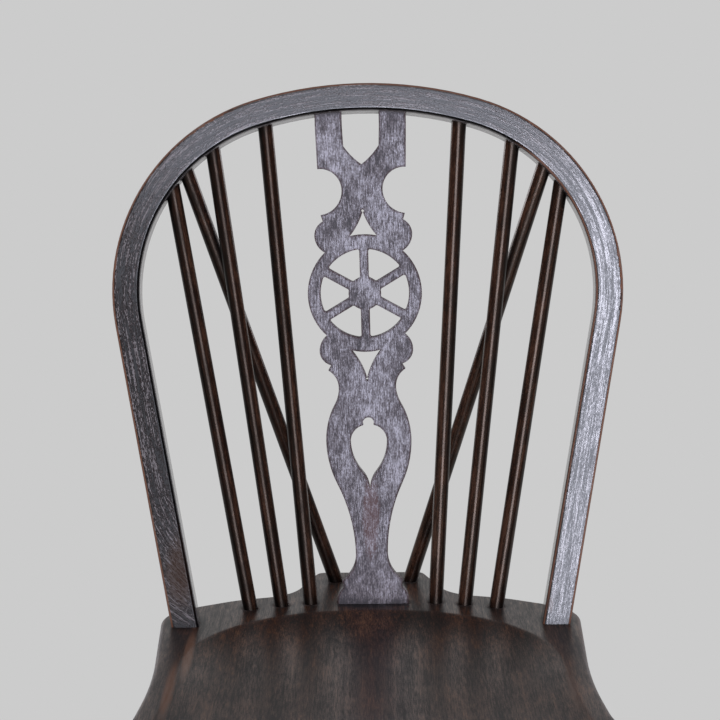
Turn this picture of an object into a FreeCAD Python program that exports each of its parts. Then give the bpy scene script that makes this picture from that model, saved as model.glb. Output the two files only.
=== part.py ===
import FreeCAD, Part
import math
import os
from types import SimpleNamespace

import Sketcher

# A wheelback Windsor chair, front towards -Y, standing on z = 0.
# Places on the seat are measured from the back line, where the bow's front face meets the seat.

Vector = FreeCAD.Vector
doc = FreeCAD.newDocument("wheelback_chair")

# Driving dimensions, in millimetres and degrees
DIMENSIONS = [
    ("seat_height", 437, "floor to the flat rim of the seat"),
    ("seat_thickness", 35, "seat board"),
    ("back_line", 87.5, "back line behind the middle of the chair"),
    ("tail_half", 47, "half width of the tail's end"),
    ("tail_back", 148, "back line to the tail's end"),
    ("tail_corner_radius", 9, "corners of the tail's end"),
    ("tail_root_half", 68, "half width where the tail leaves the seat"),
    ("tail_root_back", 85, "back line to the tail's root"),
    ("tail_root_radius", 38, "hollow at the tail's root"),
    ("rear_edge_half", 115, "half width where the rear edge turns forward"),
    ("rear_edge_back", 72, "back line to that turn"),
    ("rear_edge_radius", 105, "that turn"),
    ("rear_corner_half", 174.5, "half width of the rear corners, unrounded"),
    ("rear_corner_back", 40.5, "back line to the rear corners, unrounded"),
    ("rear_corner_radius", 41, "rear corners"),
    ("waist_half", 166.2, "half width at the waist"),
    ("waist_front", 125, "back line forward to the waist"),
    ("waist_radius", 650, "hollow of the waist"),
    ("flare_half", 174.3, "half width where the sides flare"),
    ("flare_front", 212, "back line forward to the flare"),
    ("flare_radius", 95, "hollow of the flare"),
    ("front_corner_half", 222, "half width of the front corners, unrounded"),
    ("front_corner_front", 298, "back line forward to the front corners, unrounded"),
    ("front_corner_radius", 41, "front corners"),
    ("front_edge_front", 316, "back line forward to the middle of the front edge"),
    ("front_edge_radius", 650, "bow of the front edge"),
    ("rim_edge_radius", 3.5, "rounded upper edge of the seat"),
    ("underside_bevel", 7, "bevel round the seat's underside"),
    ("dish_depth", 11.5, "hollowed seat below its rim"),
    ("dish_half", 150, "half width of the hollow at the waist"),
    ("dish_rear", 41, "back line to the rear of the hollow"),
    ("dish_widest_front", 104, "back line forward to where the hollow starts to widen"),
    ("dish_front_spread", 0.00073, "widening of the hollow towards the front, per millimetre"),
    ("dish_roundness", 2.25, "squareness of the hollow's rear end, 2 for an ellipse"),
    ("dish_wall", 4.2, "steepness of the hollow's wall"),
    ("dish_reach", 1.6, "how far out the wall's curve is followed, in parts of the hollow's width"),
    ("dish_spare", 14, "the hollow's surface carried on behind its rear"),
    ("thigh_depth", 6.5, "hollow at the front edge"),
    ("pommel_height", 5.5, "ridge between the thighs"),
    ("pommel_half", 34, "half width of that ridge"),
    ("pommel_front", 150, "back line forward to where the ridge starts"),
    ("front_roll_radius", 17, "front edge rolled over under the knees"),
    ("front_roll_slope", 68, "steepest slope of that roll"),
    ("hoop_lean", 13, "backward lean of the bow"),
    ("hoop_height", 446.6, "seat to the crown of the bow, along the lean"),
    ("hoop_foot_half", 163.6, "half width over the bow's feet"),
    ("hoop_splay", 10.15, "outward slope of the bow's uprights"),
    ("hoop_width", 23, "bow, seen from the front"),
    ("hoop_depth", 22, "bow, front to back"),
    ("hoop_crown_radius", 329, "outer radius of the crown"),
    ("hoop_shoulder_radius", 163.6, "outer radius of the shoulders"),
    ("hoop_edge_radius", 3, "rounded edges of the bow"),
    ("hoop_tenon_diameter", 18, "round tenon at each foot of the bow"),
    ("stick_diameter", 12.3, "back sticks"),
    ("stick_foot_depth", 14, "sticks let into the seat"),
    ("stick_top_depth", 16, "sticks let into the bow"),
    ("outer_foot_half", 103.5, "outer sticks, middle line to foot"),
    ("outer_foot_back", 47.7, "outer sticks, back line to foot"),
    ("outer_top_angle", 36.2, "outer sticks' place round the shoulder"),
    ("middle_foot_half", 77.4, "middle sticks, middle line to foot"),
    ("middle_foot_back", 55.6, "middle sticks, back line to foot"),
    ("middle_top_angle", 56.8, "middle sticks' place round the shoulder"),
    ("inner_foot_half", 52.9, "inner sticks, middle line to foot"),
    ("inner_foot_back", 60.9, "inner sticks, back line to foot"),
    ("inner_top_angle", 15.2, "inner sticks' place round the crown"),
    ("feet_aside", 2.3, "feet of all the sticks and the splat, right of the middle line"),
    ("crown_drift", 0.63, "inner sticks' tops, round to the left of their even places"),
    ("shoulder_drift", 1.5, "middle sticks' tops, round to the left of their even places"),
    ("brace_diameter", 12.3, "brace sticks"),
    ("brace_foot_half", 32.4, "brace sticks, middle line to foot"),
    ("brace_foot_back", 121.5, "brace sticks, back line to foot"),
    ("brace_top_angle", 44.3, "brace sticks' place round the shoulder"),
    ("brace_drift", 0.6, "brace sticks' tops, round to the left of their even places"),
    ("splat_back", 57, "back line to the splat's face"),
    ("splat_skew", 1.0, "the splat leans to the left"),
    ("splat_setback", 5, "splat's face behind the bow's face at the crown"),
    ("splat_thickness", 10, "splat"),
    ("splat_foot_depth", 11, "splat let into the seat"),
    ("prong_depth", 10, "prongs let into the bow"),
    ("prong_outer_half", 37.7, "outer sides of the prongs at the bow"),
    ("prong_inner_half", 15.4, "inner sides of the prongs at the bow"),
    ("prong_straight", 12, "prongs' straight length below the bow"),
    ("prong_root_outer_half", 36.7, "outer sides of the prongs at their root"),
    ("prong_root_height", 367.2, "seat to the prongs' outer root"),
    ("notch_half", 14.7, "notch between the prongs where it turns in"),
    ("notch_height", 385.7, "seat to that turn"),
    ("notch_bottom", 370.3, "seat to the point of the notch"),
    ("notch_radius", 60, "curve of the notch's sides"),
    ("scoop_half", 17, "half width between the scoops"),
    ("scoop_height", 349.2, "seat to the middle of the scoops"),
    ("scoop_cusp_half", 35, "half width at the scoops' lower cusps"),
    ("scoop_cusp_height", 329, "seat to those cusps"),
    ("lobe_top_half", 33.4, "half width at the top of the upper lobes"),
    ("lobe_top_height", 323.8, "seat to the top of the upper lobes"),
    ("lobe_half", 40.7, "half width over the upper lobes"),
    ("lobe_height", 312, "seat to the middle of the upper lobes"),
    ("wheel_height", 263.1, "seat to the middle of the wheel"),
    ("wheel_radius", 47.6, "wheel's rim, outside"),
    ("wheel_inner_radius", 37, "wheel's rim, inside"),
    ("wheel_lobe_rise", 34.8, "wheel's middle to where the lobes leave the rim"),
    ("hub_radius", 13.6, "wheel's hub"),
    ("spoke_width", 7.5, "wheel's spokes"),
    ("spoke_count", 6, "wheel's spokes"),
    ("window_corner_radius", 1.6, "corners of the pierced windows"),
    ("low_lobe_half", 39.1, "half width over the lower lobes"),
    ("low_lobe_height", 215.8, "seat to the middle of the lower lobes"),
    ("low_lobe_end_half", 29.6, "half width at the bottom of the lower lobes"),
    ("low_lobe_end_height", 203.5, "seat to the bottom of the lower lobes"),
    ("neck_cusp_half", 32.2, "half width at the neck's upper cusps"),
    ("neck_cusp_height", 199.2, "seat to those cusps"),
    ("neck_half", 24, "half width at the neck"),
    ("neck_height", 184.5, "seat to the neck"),
    ("belly_half", 35.8, "half width at the belly"),
    ("belly_height", 140, "seat to the belly"),
    ("ankle_half", 13.5, "half width at the ankle"),
    ("ankle_height", 42.5, "seat to the ankle"),
    ("foot_cusp_half", 25.5, "half width at the cusps over the foot"),
    ("foot_cusp_height", 20.2, "seat to those cusps"),
    ("foot_step_half", 24.6, "half width under those cusps"),
    ("foot_step_height", 14.4, "seat to that step"),
    ("foot_half", 30, "half width of the splat's foot"),
    ("foot_edge_height", 1, "seat to where the foot's sides start to curve"),
    ("foot_side_radius", 14.4, "curve of the foot's sides"),
    ("neck_turn", 0.33, "share of the way from neck to belly where the curve turns"),
    ("belly_turn", 0.38, "share of the way from belly to ankle where the curve turns"),
    ("piercing_radius", 49, "curved bases of the small piercings, about the wheel's middle"),
    ("top_piercing_half", 11.4, "half width of the piercing over the wheel"),
    ("top_piercing_point", 331.1, "seat to the point of that piercing"),
    ("low_piercing_half", 12.4, "half width of the piercing under the wheel"),
    ("low_piercing_point", 191.7, "seat to the point of that piercing"),
    ("piercing_side_radius", 60, "hollow sides of both piercings"),
    ("saw_hole_radius", 1.1, "hole for the saw blade at the point of each piercing"),
    ("saw_hole_beyond", 0.6, "from that point on to the middle of the hole"),
    ("drop_top", 158.8, "seat to the top of the drop-shaped piercing"),
    ("drop_neck_half", 4.3, "half width of its neck"),
    ("drop_neck_height", 152.4, "seat to its neck"),
    ("drop_half", 15.2, "half width of the drop"),
    ("drop_height", 138.9, "seat to the widest part of the drop"),
    ("drop_point", 97.1, "seat to the point of the drop"),
    ("drop_turn", 0.62, "share of the way down where the drop's sides turn"),
    ("front_foot_half", 183, "middle line to the front feet"),
    ("rear_foot_half", 172, "middle line to the rear feet"),
    ("feet_depth", 475, "front feet to rear feet"),
    ("front_leg_top_half", 133, "middle line to the front leg sockets"),
    ("front_leg_top_front", 243, "back line forward to the front leg sockets"),
    ("rear_leg_top_half", 103, "middle line to the rear leg sockets"),
    ("rear_leg_top_back", 12, "back line to the rear leg sockets"),
    ("leg_tenon_radius", 12.5, "top of each leg"),
    ("leg_tenon_length", 20, "legs let into the seat"),
    ("leg_tenon_bare", 6, "straight end of each leg that shows under the seat"),
    ("leg_foot_radius", 12.5, "foot of each leg"),
    ("leg_bulb_radius", 17, "low bulb, unrounded"),
    ("leg_bulb_height", 52, "foot to the low bulb"),
    ("leg_bulb_rounding", 110, "curve over the low bulb"),
    ("leg_groove_radius", 12, "grooves beside the rings"),
    ("leg_low_neck_height", 92, "foot to the groove under the low ring"),
    ("leg_ring_radius", 16.5, "rings"),
    ("leg_ring_width", 13, "rings, between their grooves"),
    ("leg_swell_radius", 20.4, "swelling that takes the stretcher"),
    ("leg_swell_height", 190, "foot to the middle of that swelling"),
    ("leg_swell_length", 30, "straight middle of that swelling"),
    ("leg_high_neck_drop", 96, "top of the leg down to the groove under the high ring"),
    ("leg_shoulder_radius", 18.8, "swelling over the high ring, unrounded"),
    ("leg_shoulder_drop", 47, "top of the leg down to that swelling"),
    ("leg_shoulder_rounding", 90, "curve over that swelling"),
    ("stretcher_height", 186, "floor to the stretchers"),
    ("stretcher_end_radius", 8, "ends of the stretchers"),
    ("stretcher_end_length", 34, "straight ends of the stretchers, with what is let in"),
    ("stretcher_swell_radius", 13.5, "middle of the stretchers"),
    ("stretcher_swell_length", 46, "straight middle of the stretchers"),
    ("stretcher_stop", 3, "stretchers' ends short of the middle of what holds them"),
    ("wedge_thickness", 3.2, "wedge at the seat's underside"),
    ("wedge_tip_thickness", 0.8, "wedge at its tip"),
    ("wedge_length", 19, "wedge"),
    ("wedge_width", 16.5, "wedge, across the tenon"),
    ("glue_gap", 0.08, "round every tenon, stick and wedge, and beyond its end"),
]


def formula(number):
    return number if isinstance(number, Size) else Size(float(number), str(number))


class Size:
    """A number that also carries its expression in terms of the spreadsheet's names."""

    def __init__(self, value, text):
        self.value = value
        self.text = text

    def joined(self, sign, other, value):
        return Size(value, f"({self.text} {sign} {other.text})")

    def __add__(self, other):
        other = formula(other)
        return self.joined("+", other, self.value + other.value)

    def __sub__(self, other):
        other = formula(other)
        return self.joined("-", other, self.value - other.value)

    def __mul__(self, other):
        other = formula(other)
        return self.joined("*", other, self.value * other.value)

    def __truediv__(self, other):
        other = formula(other)
        return self.joined("/", other, self.value / other.value)

    def __neg__(self):
        return Size(-self.value, f"(-1 * {self.text})")

    def squared(self):
        return self * self


def sine(angle):
    return Size(math.sin(math.radians(angle.value)), f"sin({angle.text})")


def cosine(angle):
    return Size(math.cos(math.radians(angle.value)), f"cos({angle.text})")


def root(number):
    return Size(math.sqrt(number.value), f"sqrt({number.text})")


def write_dimensions():
    """The sheet of driving dimensions, and the same names for use below."""
    sheet = doc.addObject("Spreadsheet::Sheet", "sizes")
    names = SimpleNamespace()
    for row, (name, value, note) in enumerate(DIMENSIONS, start=1):
        sheet.set(f"A{row}", name)
        sheet.set(f"B{row}", str(value))
        sheet.set(f"C{row}", note)
        sheet.setAlias(f"B{row}", name)
    doc.recompute()
    for name, _, _ in DIMENSIONS:
        setattr(names, name, Size(float(sheet.get(name)), f"sizes.{name}"))
    return names


dim = write_dimensions()
places = doc.addObject("Spreadsheet::Sheet", "places")
ORIGIN = Size(0.0, "0")


def place(name, size):
    """Keeps a worked-out place under its own name in the second sheet."""
    row = 1
    while places.getContents(f"A{row}"):
        row += 1
    places.set(f"A{row}", name)
    places.set(f"B{row}", f"={size.text}")
    places.setAlias(f"B{row}", name)
    doc.recompute()
    return Size(float(places.get(name)), f"places.{name}")


# Worked-out places of the bow: its centreline's foot, crown circle and shoulder circle
half_width = dim.hoop_width / 2
hoop_mid = dim.hoop_depth / 2
splay_cos = place("splay_cos", cosine(dim.hoop_splay))
splay_sin = place("splay_sin", sine(dim.hoop_splay))
lean_cos = place("lean_cos", cosine(dim.hoop_lean))
lean_sin = place("lean_sin", sine(dim.hoop_lean))
hoop_foot = place("hoop_foot", dim.hoop_foot_half - half_width / splay_cos)
crown_radius = place("crown_radius", dim.hoop_crown_radius - half_width)
shoulder_radius = place("shoulder_radius", dim.hoop_shoulder_radius - half_width)
crown_centre = place("crown_centre", dim.hoop_height - dim.hoop_crown_radius)
start_x = place("start_x", hoop_foot - shoulder_radius * splay_cos)
start_w = place("start_w", shoulder_radius * splay_sin - crown_centre)
along_upright = place("along_upright", start_x * splay_sin + start_w * splay_cos)
circles_apart = place("circles_apart", crown_radius - shoulder_radius)
shoulder_rise = place(
    "shoulder_rise",
    root(along_upright.squared() - start_x.squared() - start_w.squared() + circles_apart.squared())
    - along_upright,
)
shoulder_x = place("shoulder_x", start_x + shoulder_rise * splay_sin)
shoulder_w = place("shoulder_w", start_w + shoulder_rise * splay_cos + crown_centre)

# Worked-out places of the splat: its lean, so that it meets the bow, and its length
underside_of_seat = dim.seat_height - dim.seat_thickness
crown_inside = dim.hoop_height - dim.hoop_width
splat_run = place("splat_run", crown_inside * lean_sin + dim.splat_setback - dim.splat_back)
splat_rise = place("splat_rise", crown_inside * lean_cos)
splat_length = place("splat_length", root(splat_run.squared() + splat_rise.squared()))
splat_lean = place("splat_lean", Size(
    math.degrees(math.atan2(splat_run.value, splat_rise.value)),
    f"(atan2({splat_run.text}; {splat_rise.text}) / 1 deg)",
))


def on_hoop(x, w):
    """A point of the bow's middle plane, x across and w up along the lean, in the chair's frame."""
    y = dim.back_line + hoop_mid * lean_cos + w * lean_sin
    z = dim.seat_height - hoop_mid * lean_sin + w * lean_cos
    return (x, y, z)


def on_shoulder(side, angle):
    """Where a stick meets the bow's inside, angle degrees round the shoulder."""
    reach = dim.hoop_shoulder_radius - dim.hoop_width
    x = shoulder_x + reach * cosine(angle)
    return on_hoop(x * side, shoulder_w + reach * sine(angle))


def on_crown(side, angle):
    """Where a stick meets the bow's inside, angle degrees round from the crown's middle."""
    reach = dim.hoop_crown_radius - dim.hoop_width
    return on_hoop(reach * sine(angle) * side, crown_centre + reach * cosine(angle))


def on_seat(x, back):
    """Where a stick's middle line meets the seat."""
    return (x + dim.feet_aside, dim.back_line + back, dim.seat_height)


def bind(item, **sizes):
    """Ties properties of an object to the sheets."""
    for name, size in sizes.items():
        item.setExpression(name, formula(size).text)


def shifted(point, turn="0; 0; 0"):
    """Placement at a point, turned if asked."""
    x, y, z = (formula(part).text for part in point)
    return f"placement(vector({x}; {y}; {z}); rotation({turn}))"


def leaning(point, angle):
    """Placement at a point, tilted back about X."""
    return shifted(point, f"vector(1; 0; 0); -1 * {angle.text}")


def way(start, end):
    """The direction from one point to another, as three shares, and the distance."""
    steps = [last - first for first, last in zip(start, end)]
    length = root(steps[0].squared() + steps[1].squared() + steps[2].squared())
    return [step / length for step in steps], length


def pointing(start, end, before):
    """Placement whose Z runs from start to end, begun that much before start."""
    ahead, _ = way(start, end)
    x, y, z = ((point - step * before).text for point, step in zip(start, ahead))
    across = f"vector(-1 * {ahead[1].text}; {ahead[0].text}; 0)"
    return f"placement(vector({x}; {y}; {z}); rotation({across}; acos({ahead[2].text}) / 1 deg))"


def rod(name, start, end, diameter, before=0, after=0):
    """A cylinder from start to end, longer by before and after."""
    item = doc.addObject("Part::Cylinder", name)
    _, length = way(start, end)
    bind(item, Radius=diameter / 2, Height=length + before + after)
    item.setExpression("Placement", pointing(start, end, formula(before)))
    return item


def cut(name, base, tools):
    """One piece with all its sockets and mortises taken out."""
    group = doc.addObject("Part::Compound", f"{name}_cuts")
    group.Links = tools
    item = doc.addObject("Part::Cut", name)
    item.Base = base
    item.Tool = group
    item.Label = name
    return item


def new_body(name):
    return doc.addObject("PartDesign::Body", name)


def new_sketch(body, name, role):
    sketch = body.newObject("Sketcher::SketchObject", name)
    plane = [item for item in body.Origin.OriginFeatures if item.Role == role][0]
    sketch.AttachmentSupport = [(plane, "")]
    sketch.MapMode = "FlatFace"
    return sketch


class Drawing:
    """Draws lines and arcs in a sketch and ties their ends to sizes."""

    FIRST, LAST, MIDDLE = range(1, 4)
    X_AXIS, Y_AXIS = range(-1, -3, -1)

    def __init__(self, sketch):
        self.sketch = sketch

    def add(self, shape):
        return self.sketch.addGeometry(shape, False)

    def line(self, first, last):
        """A line's number, and which of its ends is which."""
        return self.add(Part.LineSegment(first, last)), self.FIRST, self.LAST

    def arc(self, first, last, centre):
        """The short arc's number, and which of its ends is which: the sketch counts them leftwards."""
        turns_left = (first - centre).cross(last - centre).z > 0
        begin, finish = (first, last) if turns_left else (last, first)
        start, stop = (math.atan2((end - centre).y, (end - centre).x) for end in (begin, finish))
        if stop < start:
            stop += 2 * math.pi
        circle = Part.Circle(centre, Vector(0, 0, 1), (first - centre).Length)
        order = (self.FIRST, self.LAST) if turns_left else (self.LAST, self.FIRST)
        return (self.add(Part.ArcOfCircle(circle, start, stop)), *order)

    def rule(self, *parts):
        return self.sketch.addConstraint(Sketcher.Constraint(*parts))

    def tie(self, kind, size, *parts):
        number = self.rule(kind, *parts, size.value)
        self.sketch.setExpression(f"Constraints[{number}]", size.text)

    def pin(self, edge, end, corner):
        """Holds the end of an edge at its corner's place."""
        for kind, axis, size in (
            ("DistanceX", self.Y_AXIS, corner[0]),
            ("DistanceY", self.X_AXIS, corner[1]),
        ):
            if size is ORIGIN:
                self.rule("PointOnObject", edge, end, axis)
            else:
                self.tie(kind, size, self.X_AXIS, self.FIRST, edge, end)

    def round_off(self, before, after, ends, corner):
        """An arc tangent to the edges before and after a corner, whose unrounded tip stays in place."""
        arrive, leave, centre = ends
        arc, first_end, last_end = self.arc(arrive, leave, centre)
        self.rule("Tangent", *before, arc, first_end)
        self.rule("Tangent", arc, last_end, *after)
        self.tie("Radius", corner[2], arc)
        tip = self.sketch.addGeometry(Part.Point(flat(corner)), True)
        for edge, _ in (before, after):
            self.rule("PointOnObject", tip, self.FIRST, edge)
        self.pin(tip, self.FIRST, corner)


def flat(point):
    return Vector(point[0].value, point[1].value, 0)


def arc_centre(first, last, kind, radius=None):
    """Centre of an arc between two points: level with or plumb under one end, or of a given radius."""
    if kind.startswith("level"):
        held, other = (first, last) if kind == "level_first" else (last, first)
        reach = (other - held).Length ** 2 / (2 * (other.x - held.x))
        return held + Vector(reach, 0, 0)
    if kind.startswith("plumb"):
        held, other = (first, last) if kind == "plumb_first" else (last, first)
        reach = (other - held).Length ** 2 / (2 * (other.y - held.y))
        return held + Vector(0, reach, 0)
    half = (last - first) / 2
    side = 1 if kind == "left" else -1
    across = Vector(-half.y, half.x, 0).normalize() * side
    return first + half + across * math.sqrt(radius ** 2 - half.Length ** 2)


def rounding_ends(before, tip, after, radius):
    """Where a rounded corner's arc starts and ends on its two sides, and the arc's centre."""
    back = (before - tip).normalize()
    on = (after - tip).normalize()
    half_angle = back.getAngle(on) / 2
    reach = radius / math.tan(half_angle)
    centre = tip + (back + on).normalize() * (radius / math.sin(half_angle))
    return tip + back * reach, tip + on * reach, centre


def draw_outline(sketch, corners, edges=None):
    """A closed outline. A corner is (x, y), or (x, y, radius) where two lines meet in a rounding.
    Edge n runs from corner n to the next, as "line", a level or plumb arc, or ("left" or "right",
    radius) for an arc that turns that way. Without edges, all are lines."""
    draw = Drawing(sketch)
    edges = edges or ["line"] * len(corners)
    tips = [flat(corner) for corner in corners]
    following = tips[1:] + tips[:1]
    ends = [(tip, tip, None) for tip in tips]
    for number, corner in enumerate(corners):
        if len(corner) > 2:
            ends[number] = rounding_ends(tips[number - 1], tips[number], following[number], corner[2].value)
    drawn = []
    for (_, first, _), (last, _, _), edge in zip(ends, ends[1:] + ends[:1], edges):
        if edge == "line":
            drawn.append(draw.line(first, last))
            continue
        kind, size = edge if isinstance(edge, tuple) else (edge, None)
        drawn.append(draw.arc(first, last, arc_centre(first, last, kind, size.value if size else None)))
    for number, (edge, first_end, _) in enumerate(drawn):
        before, _, last_end = drawn[number - 1]
        corner = corners[number]
        if len(corner) > 2:
            draw.round_off((before, last_end), (edge, first_end), ends[number], corner)
        else:
            draw.rule("Coincident", before, last_end, edge, first_end)
            draw.pin(edge, first_end, corner)
    for (edge, first_end, last_end), kind in zip(drawn, edges):
        if isinstance(kind, tuple):
            draw.tie("Radius", kind[1], edge)
        elif kind != "line":
            rule = "Horizontal" if kind.startswith("level") else "Vertical"
            held = first_end if kind.endswith("first") else last_end
            draw.rule(rule, edge, draw.MIDDLE, edge, held)


def mirrored(corners, edges):
    """Both halves of an outline from its right half, which starts and ends on the middle line."""
    swapped = {
        "level_first": "level_last",
        "level_last": "level_first",
        "plumb_first": "plumb_last",
        "plumb_last": "plumb_first",
    }
    left = [(-x, y) for x, y in reversed(corners[1:-1])]
    back = [edge if isinstance(edge, tuple) else swapped.get(edge, edge) for edge in reversed(edges)]
    return corners + left, edges + back


def turned(points):
    """Corners and edges through (half width, height, kind) points of a turned form: a smooth
    point is a swelling or a neck, and the curve between two of them turns once on its way."""
    corners, edges = [], []
    for first, last in zip(points, points[1:]):
        corners.append(first[:2])
        smooth = (first[2] != "sharp", last[2] != "sharp")
        if all(smooth):
            share = first[3] if len(first) > 3 else Size(0.5, "0.5")
            turn = tuple(a + (b - a) * share for a, b in zip(first[:2], last[:2]))
            corners.append(turn)
            edges += ["level_first", "level_last"]
        else:
            straight = first[0] is last[0] or not any(smooth)
            edges.append("line" if straight else "level_first" if smooth[0] else "level_last")
    corners.append(points[-1][:2])
    return corners, edges


def face_at(shape, towards):
    """Name of the face that lies furthest in a direction."""
    heights = [face.CenterOfMass.dot(towards) for face in shape.Faces]
    return f"Face{heights.index(max(heights)) + 1}"


# The seat: one board, sawn to its outline, hollowed on top, with a tail for the brace sticks
def make_seat_board():
    body = new_body("seat_board")
    outline = new_sketch(body, "seat_outline", "XY_Plane")
    right = [
        (dim.tail_half, dim.tail_back, dim.tail_corner_radius),
        (dim.tail_root_half, dim.tail_root_back, dim.tail_root_radius),
        (dim.rear_edge_half, dim.rear_edge_back, dim.rear_edge_radius),
        (dim.rear_corner_half, dim.rear_corner_back, dim.rear_corner_radius),
        (dim.waist_half, -dim.waist_front, dim.waist_radius),
        (dim.flare_half, -dim.flare_front, dim.flare_radius),
        (dim.front_corner_half, -dim.front_corner_front, dim.front_corner_radius),
    ]
    front = (ORIGIN, -dim.front_edge_front, dim.front_edge_radius)
    left = [(-x, y, radius) for x, y, radius in reversed(right)]
    draw_outline(outline, right + [front] + left)
    pad = body.newObject("PartDesign::Pad", "seat_blank")
    pad.Profile = outline
    pad.Reversed = True
    bind(pad, Length=dim.seat_thickness)
    doc.recompute()
    rounding = body.newObject("PartDesign::Fillet", "seat_rim_rounding")
    rounding.Base = (pad, [face_at(pad.Shape, Vector(0, 0, 1))])
    bind(rounding, Radius=dim.rim_edge_radius)
    doc.recompute()
    bevel = body.newObject("PartDesign::Chamfer", "seat_underside_bevel")
    bevel.Base = (rounding, [face_at(rounding.Shape, Vector(0, 0, -1))])
    bind(bevel, Size=dim.underside_bevel)
    body.setExpression("Placement", leaning((ORIGIN, dim.back_line, dim.seat_height), ORIGIN))
    return body


def eased(share):
    """From 0 to 1, gently at both ends."""
    share = min(1.0, max(0.0, share))
    return share * share * (3 - 2 * share)


def dish_height(x, y):
    """Height of the hollowed surface over the rim, y measured back from the back line."""
    ahead = max(0.0, -y - dim.dish_widest_front.value)
    half = dim.dish_half.value + dim.dish_front_spread.value * ahead ** 2
    back = max(0.0, y + dim.dish_widest_front.value)
    rear = dim.dish_rear.value + dim.dish_widest_front.value
    power = dim.dish_roundness.value
    reach = ((abs(x) / half) ** power + (back / rear) ** power) ** (1 / power)
    forward = eased((-y - dim.pommel_front.value) / (dim.front_edge_front.value - dim.pommel_front.value))
    depth = dim.dish_depth.value + (dim.thigh_depth.value - dim.dish_depth.value) * forward
    height = depth * (min(reach, dim.dish_reach.value) ** dim.dish_wall.value - 1)
    height += dim.pommel_height.value * forward * math.exp(-(x / dim.pommel_half.value) ** 2)
    corner_back = dim.front_edge_front.value - dim.front_corner_front.value
    edge = dim.front_edge_front.value - corner_back * (x / dim.front_corner_half.value) ** 2
    radius = dim.front_roll_radius.value
    past = max(0.0, -y - (edge - radius))
    steepest = radius * math.sin(math.radians(dim.front_roll_slope.value))
    roll = radius - math.sqrt(radius ** 2 - min(past, steepest) ** 2)
    roll += max(0.0, past - steepest) * steepest / math.sqrt(radius ** 2 - steepest ** 2)
    return height - roll


# How finely the hollow's surface is drawn: points across, over the seat and over its rolled front
STEPS_ACROSS, STEPS_BACK, STEPS_FRONT = 24, 16, 14
ROLL_ZONE = 3


def evenly(first, last, steps):
    return [first + (last - first) * step / steps for step in range(steps + 1)]


def make_dish():
    """What the hollow takes out of the seat: a smooth surface, carried up past the rim."""
    item = doc.addObject("Part::Feature", "seat_hollow")
    edge = dim.front_edge_front.value
    roll = dim.front_roll_radius.value
    side = dim.front_corner_half.value
    rear = dim.dish_rear.value + dim.dish_spare.value
    knees = -edge + ROLL_ZONE * roll
    across = evenly(-side, side, STEPS_ACROSS)
    lengthwise = evenly(rear, knees, STEPS_BACK)[:-1] + evenly(knees, -edge - roll, STEPS_FRONT)
    grid = [[Vector(x, y, dish_height(x, y)) for y in lengthwise] for x in across]
    surface = Part.BSplineSurface()
    surface.interpolate(grid)
    top = surface.toShape()
    item.Shape = top.extrude(Vector(0, 0, dim.seat_height.value))
    item.setExpression("Placement", leaning((ORIGIN, dim.back_line, dim.seat_height), ORIGIN))
    return item


# The bow: one square stick bent round a former, with a round wedged tenon at each foot
def make_hoop_blank():
    body = new_body("bow_blank")
    path = new_sketch(body, "bow_centreline", "XZ_Plane")
    path.AttachmentOffset = FreeCAD.Placement(Vector(0, 0, -hoop_mid.value), FreeCAD.Rotation())
    path.setExpression("AttachmentOffset", shifted((ORIGIN, ORIGIN, -hoop_mid)))
    down = -(dim.seat_thickness * 2)
    end_x = hoop_foot + down * splay_sin / splay_cos
    foot = Vector(end_x.value, down.value, 0)
    shoulder = Vector(shoulder_x.value, shoulder_w.value, 0)
    crown = Vector(0, crown_centre.value, 0)
    outward = Vector(splay_cos.value, -splay_sin.value, 0)
    spring = shoulder + outward * shoulder_radius.value
    join = crown + (shoulder - crown).normalize() * crown_radius.value
    slope = math.radians(dim.hoop_splay.value)
    turn = math.atan2(join.y - crown.y, join.x - crown.x)
    up = Vector(0, 0, 1)
    draw = Drawing(path)
    right = draw.add(Part.LineSegment(foot, spring))
    right_arc = draw.add(Part.ArcOfCircle(Part.Circle(shoulder, up, shoulder_radius.value), -slope, turn))
    top = draw.add(Part.ArcOfCircle(Part.Circle(crown, up, crown_radius.value), turn, math.pi - turn))
    other = Vector(-shoulder.x, shoulder.y, 0)
    left_circle = Part.Circle(other, up, shoulder_radius.value)
    left_arc = draw.add(Part.ArcOfCircle(left_circle, math.pi - turn, math.pi + slope))
    left = draw.add(Part.LineSegment(Vector(-spring.x, spring.y, 0), Vector(-foot.x, foot.y, 0)))
    chain = [right, right_arc, top, left_arc, left]
    for edge, following in zip(chain, chain[1:]):
        draw.rule("Tangent", edge, draw.LAST, following, draw.FIRST)
    draw.pin(right, draw.FIRST, (end_x, down))
    draw.pin(left, draw.LAST, (-end_x, down))
    draw.pin(top, draw.MIDDLE, (ORIGIN, crown_centre))
    for edge, size in ((right_arc, shoulder_radius), (top, crown_radius), (left_arc, shoulder_radius)):
        draw.tie("Radius", size, edge)
    upward = math.pi / 2 - slope
    draw.tie("Angle", Size(upward, f"(90 - {dim.hoop_splay.text}) * 1 deg"), right)
    draw.tie("Angle", Size(-upward, f"({dim.hoop_splay.text} - 90) * 1 deg"), left)

    section = new_sketch(body, "bow_section", "XY_Plane")
    section.setExpression(
        "AttachmentOffset",
        f"placement(vector({end_x.text}; {hoop_mid.text}; {down.text});"
        f" rotation(vector(0; 1; 0); {dim.hoop_splay.text}))",
    )
    right_side = [(half_width, -hoop_mid), (half_width, hoop_mid)]
    corners = right_side + [(-x, y) for x, y in reversed(right_side)]
    draw_outline(section, [(*corner, dim.hoop_edge_radius) for corner in corners])
    pipe = body.newObject("PartDesign::AdditivePipe", "bow_bend")
    pipe.Profile = section
    pipe.Spine = (path, [])
    body.setExpression("Placement", leaning((ORIGIN, dim.back_line, dim.seat_height), dim.hoop_lean))
    return body


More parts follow.
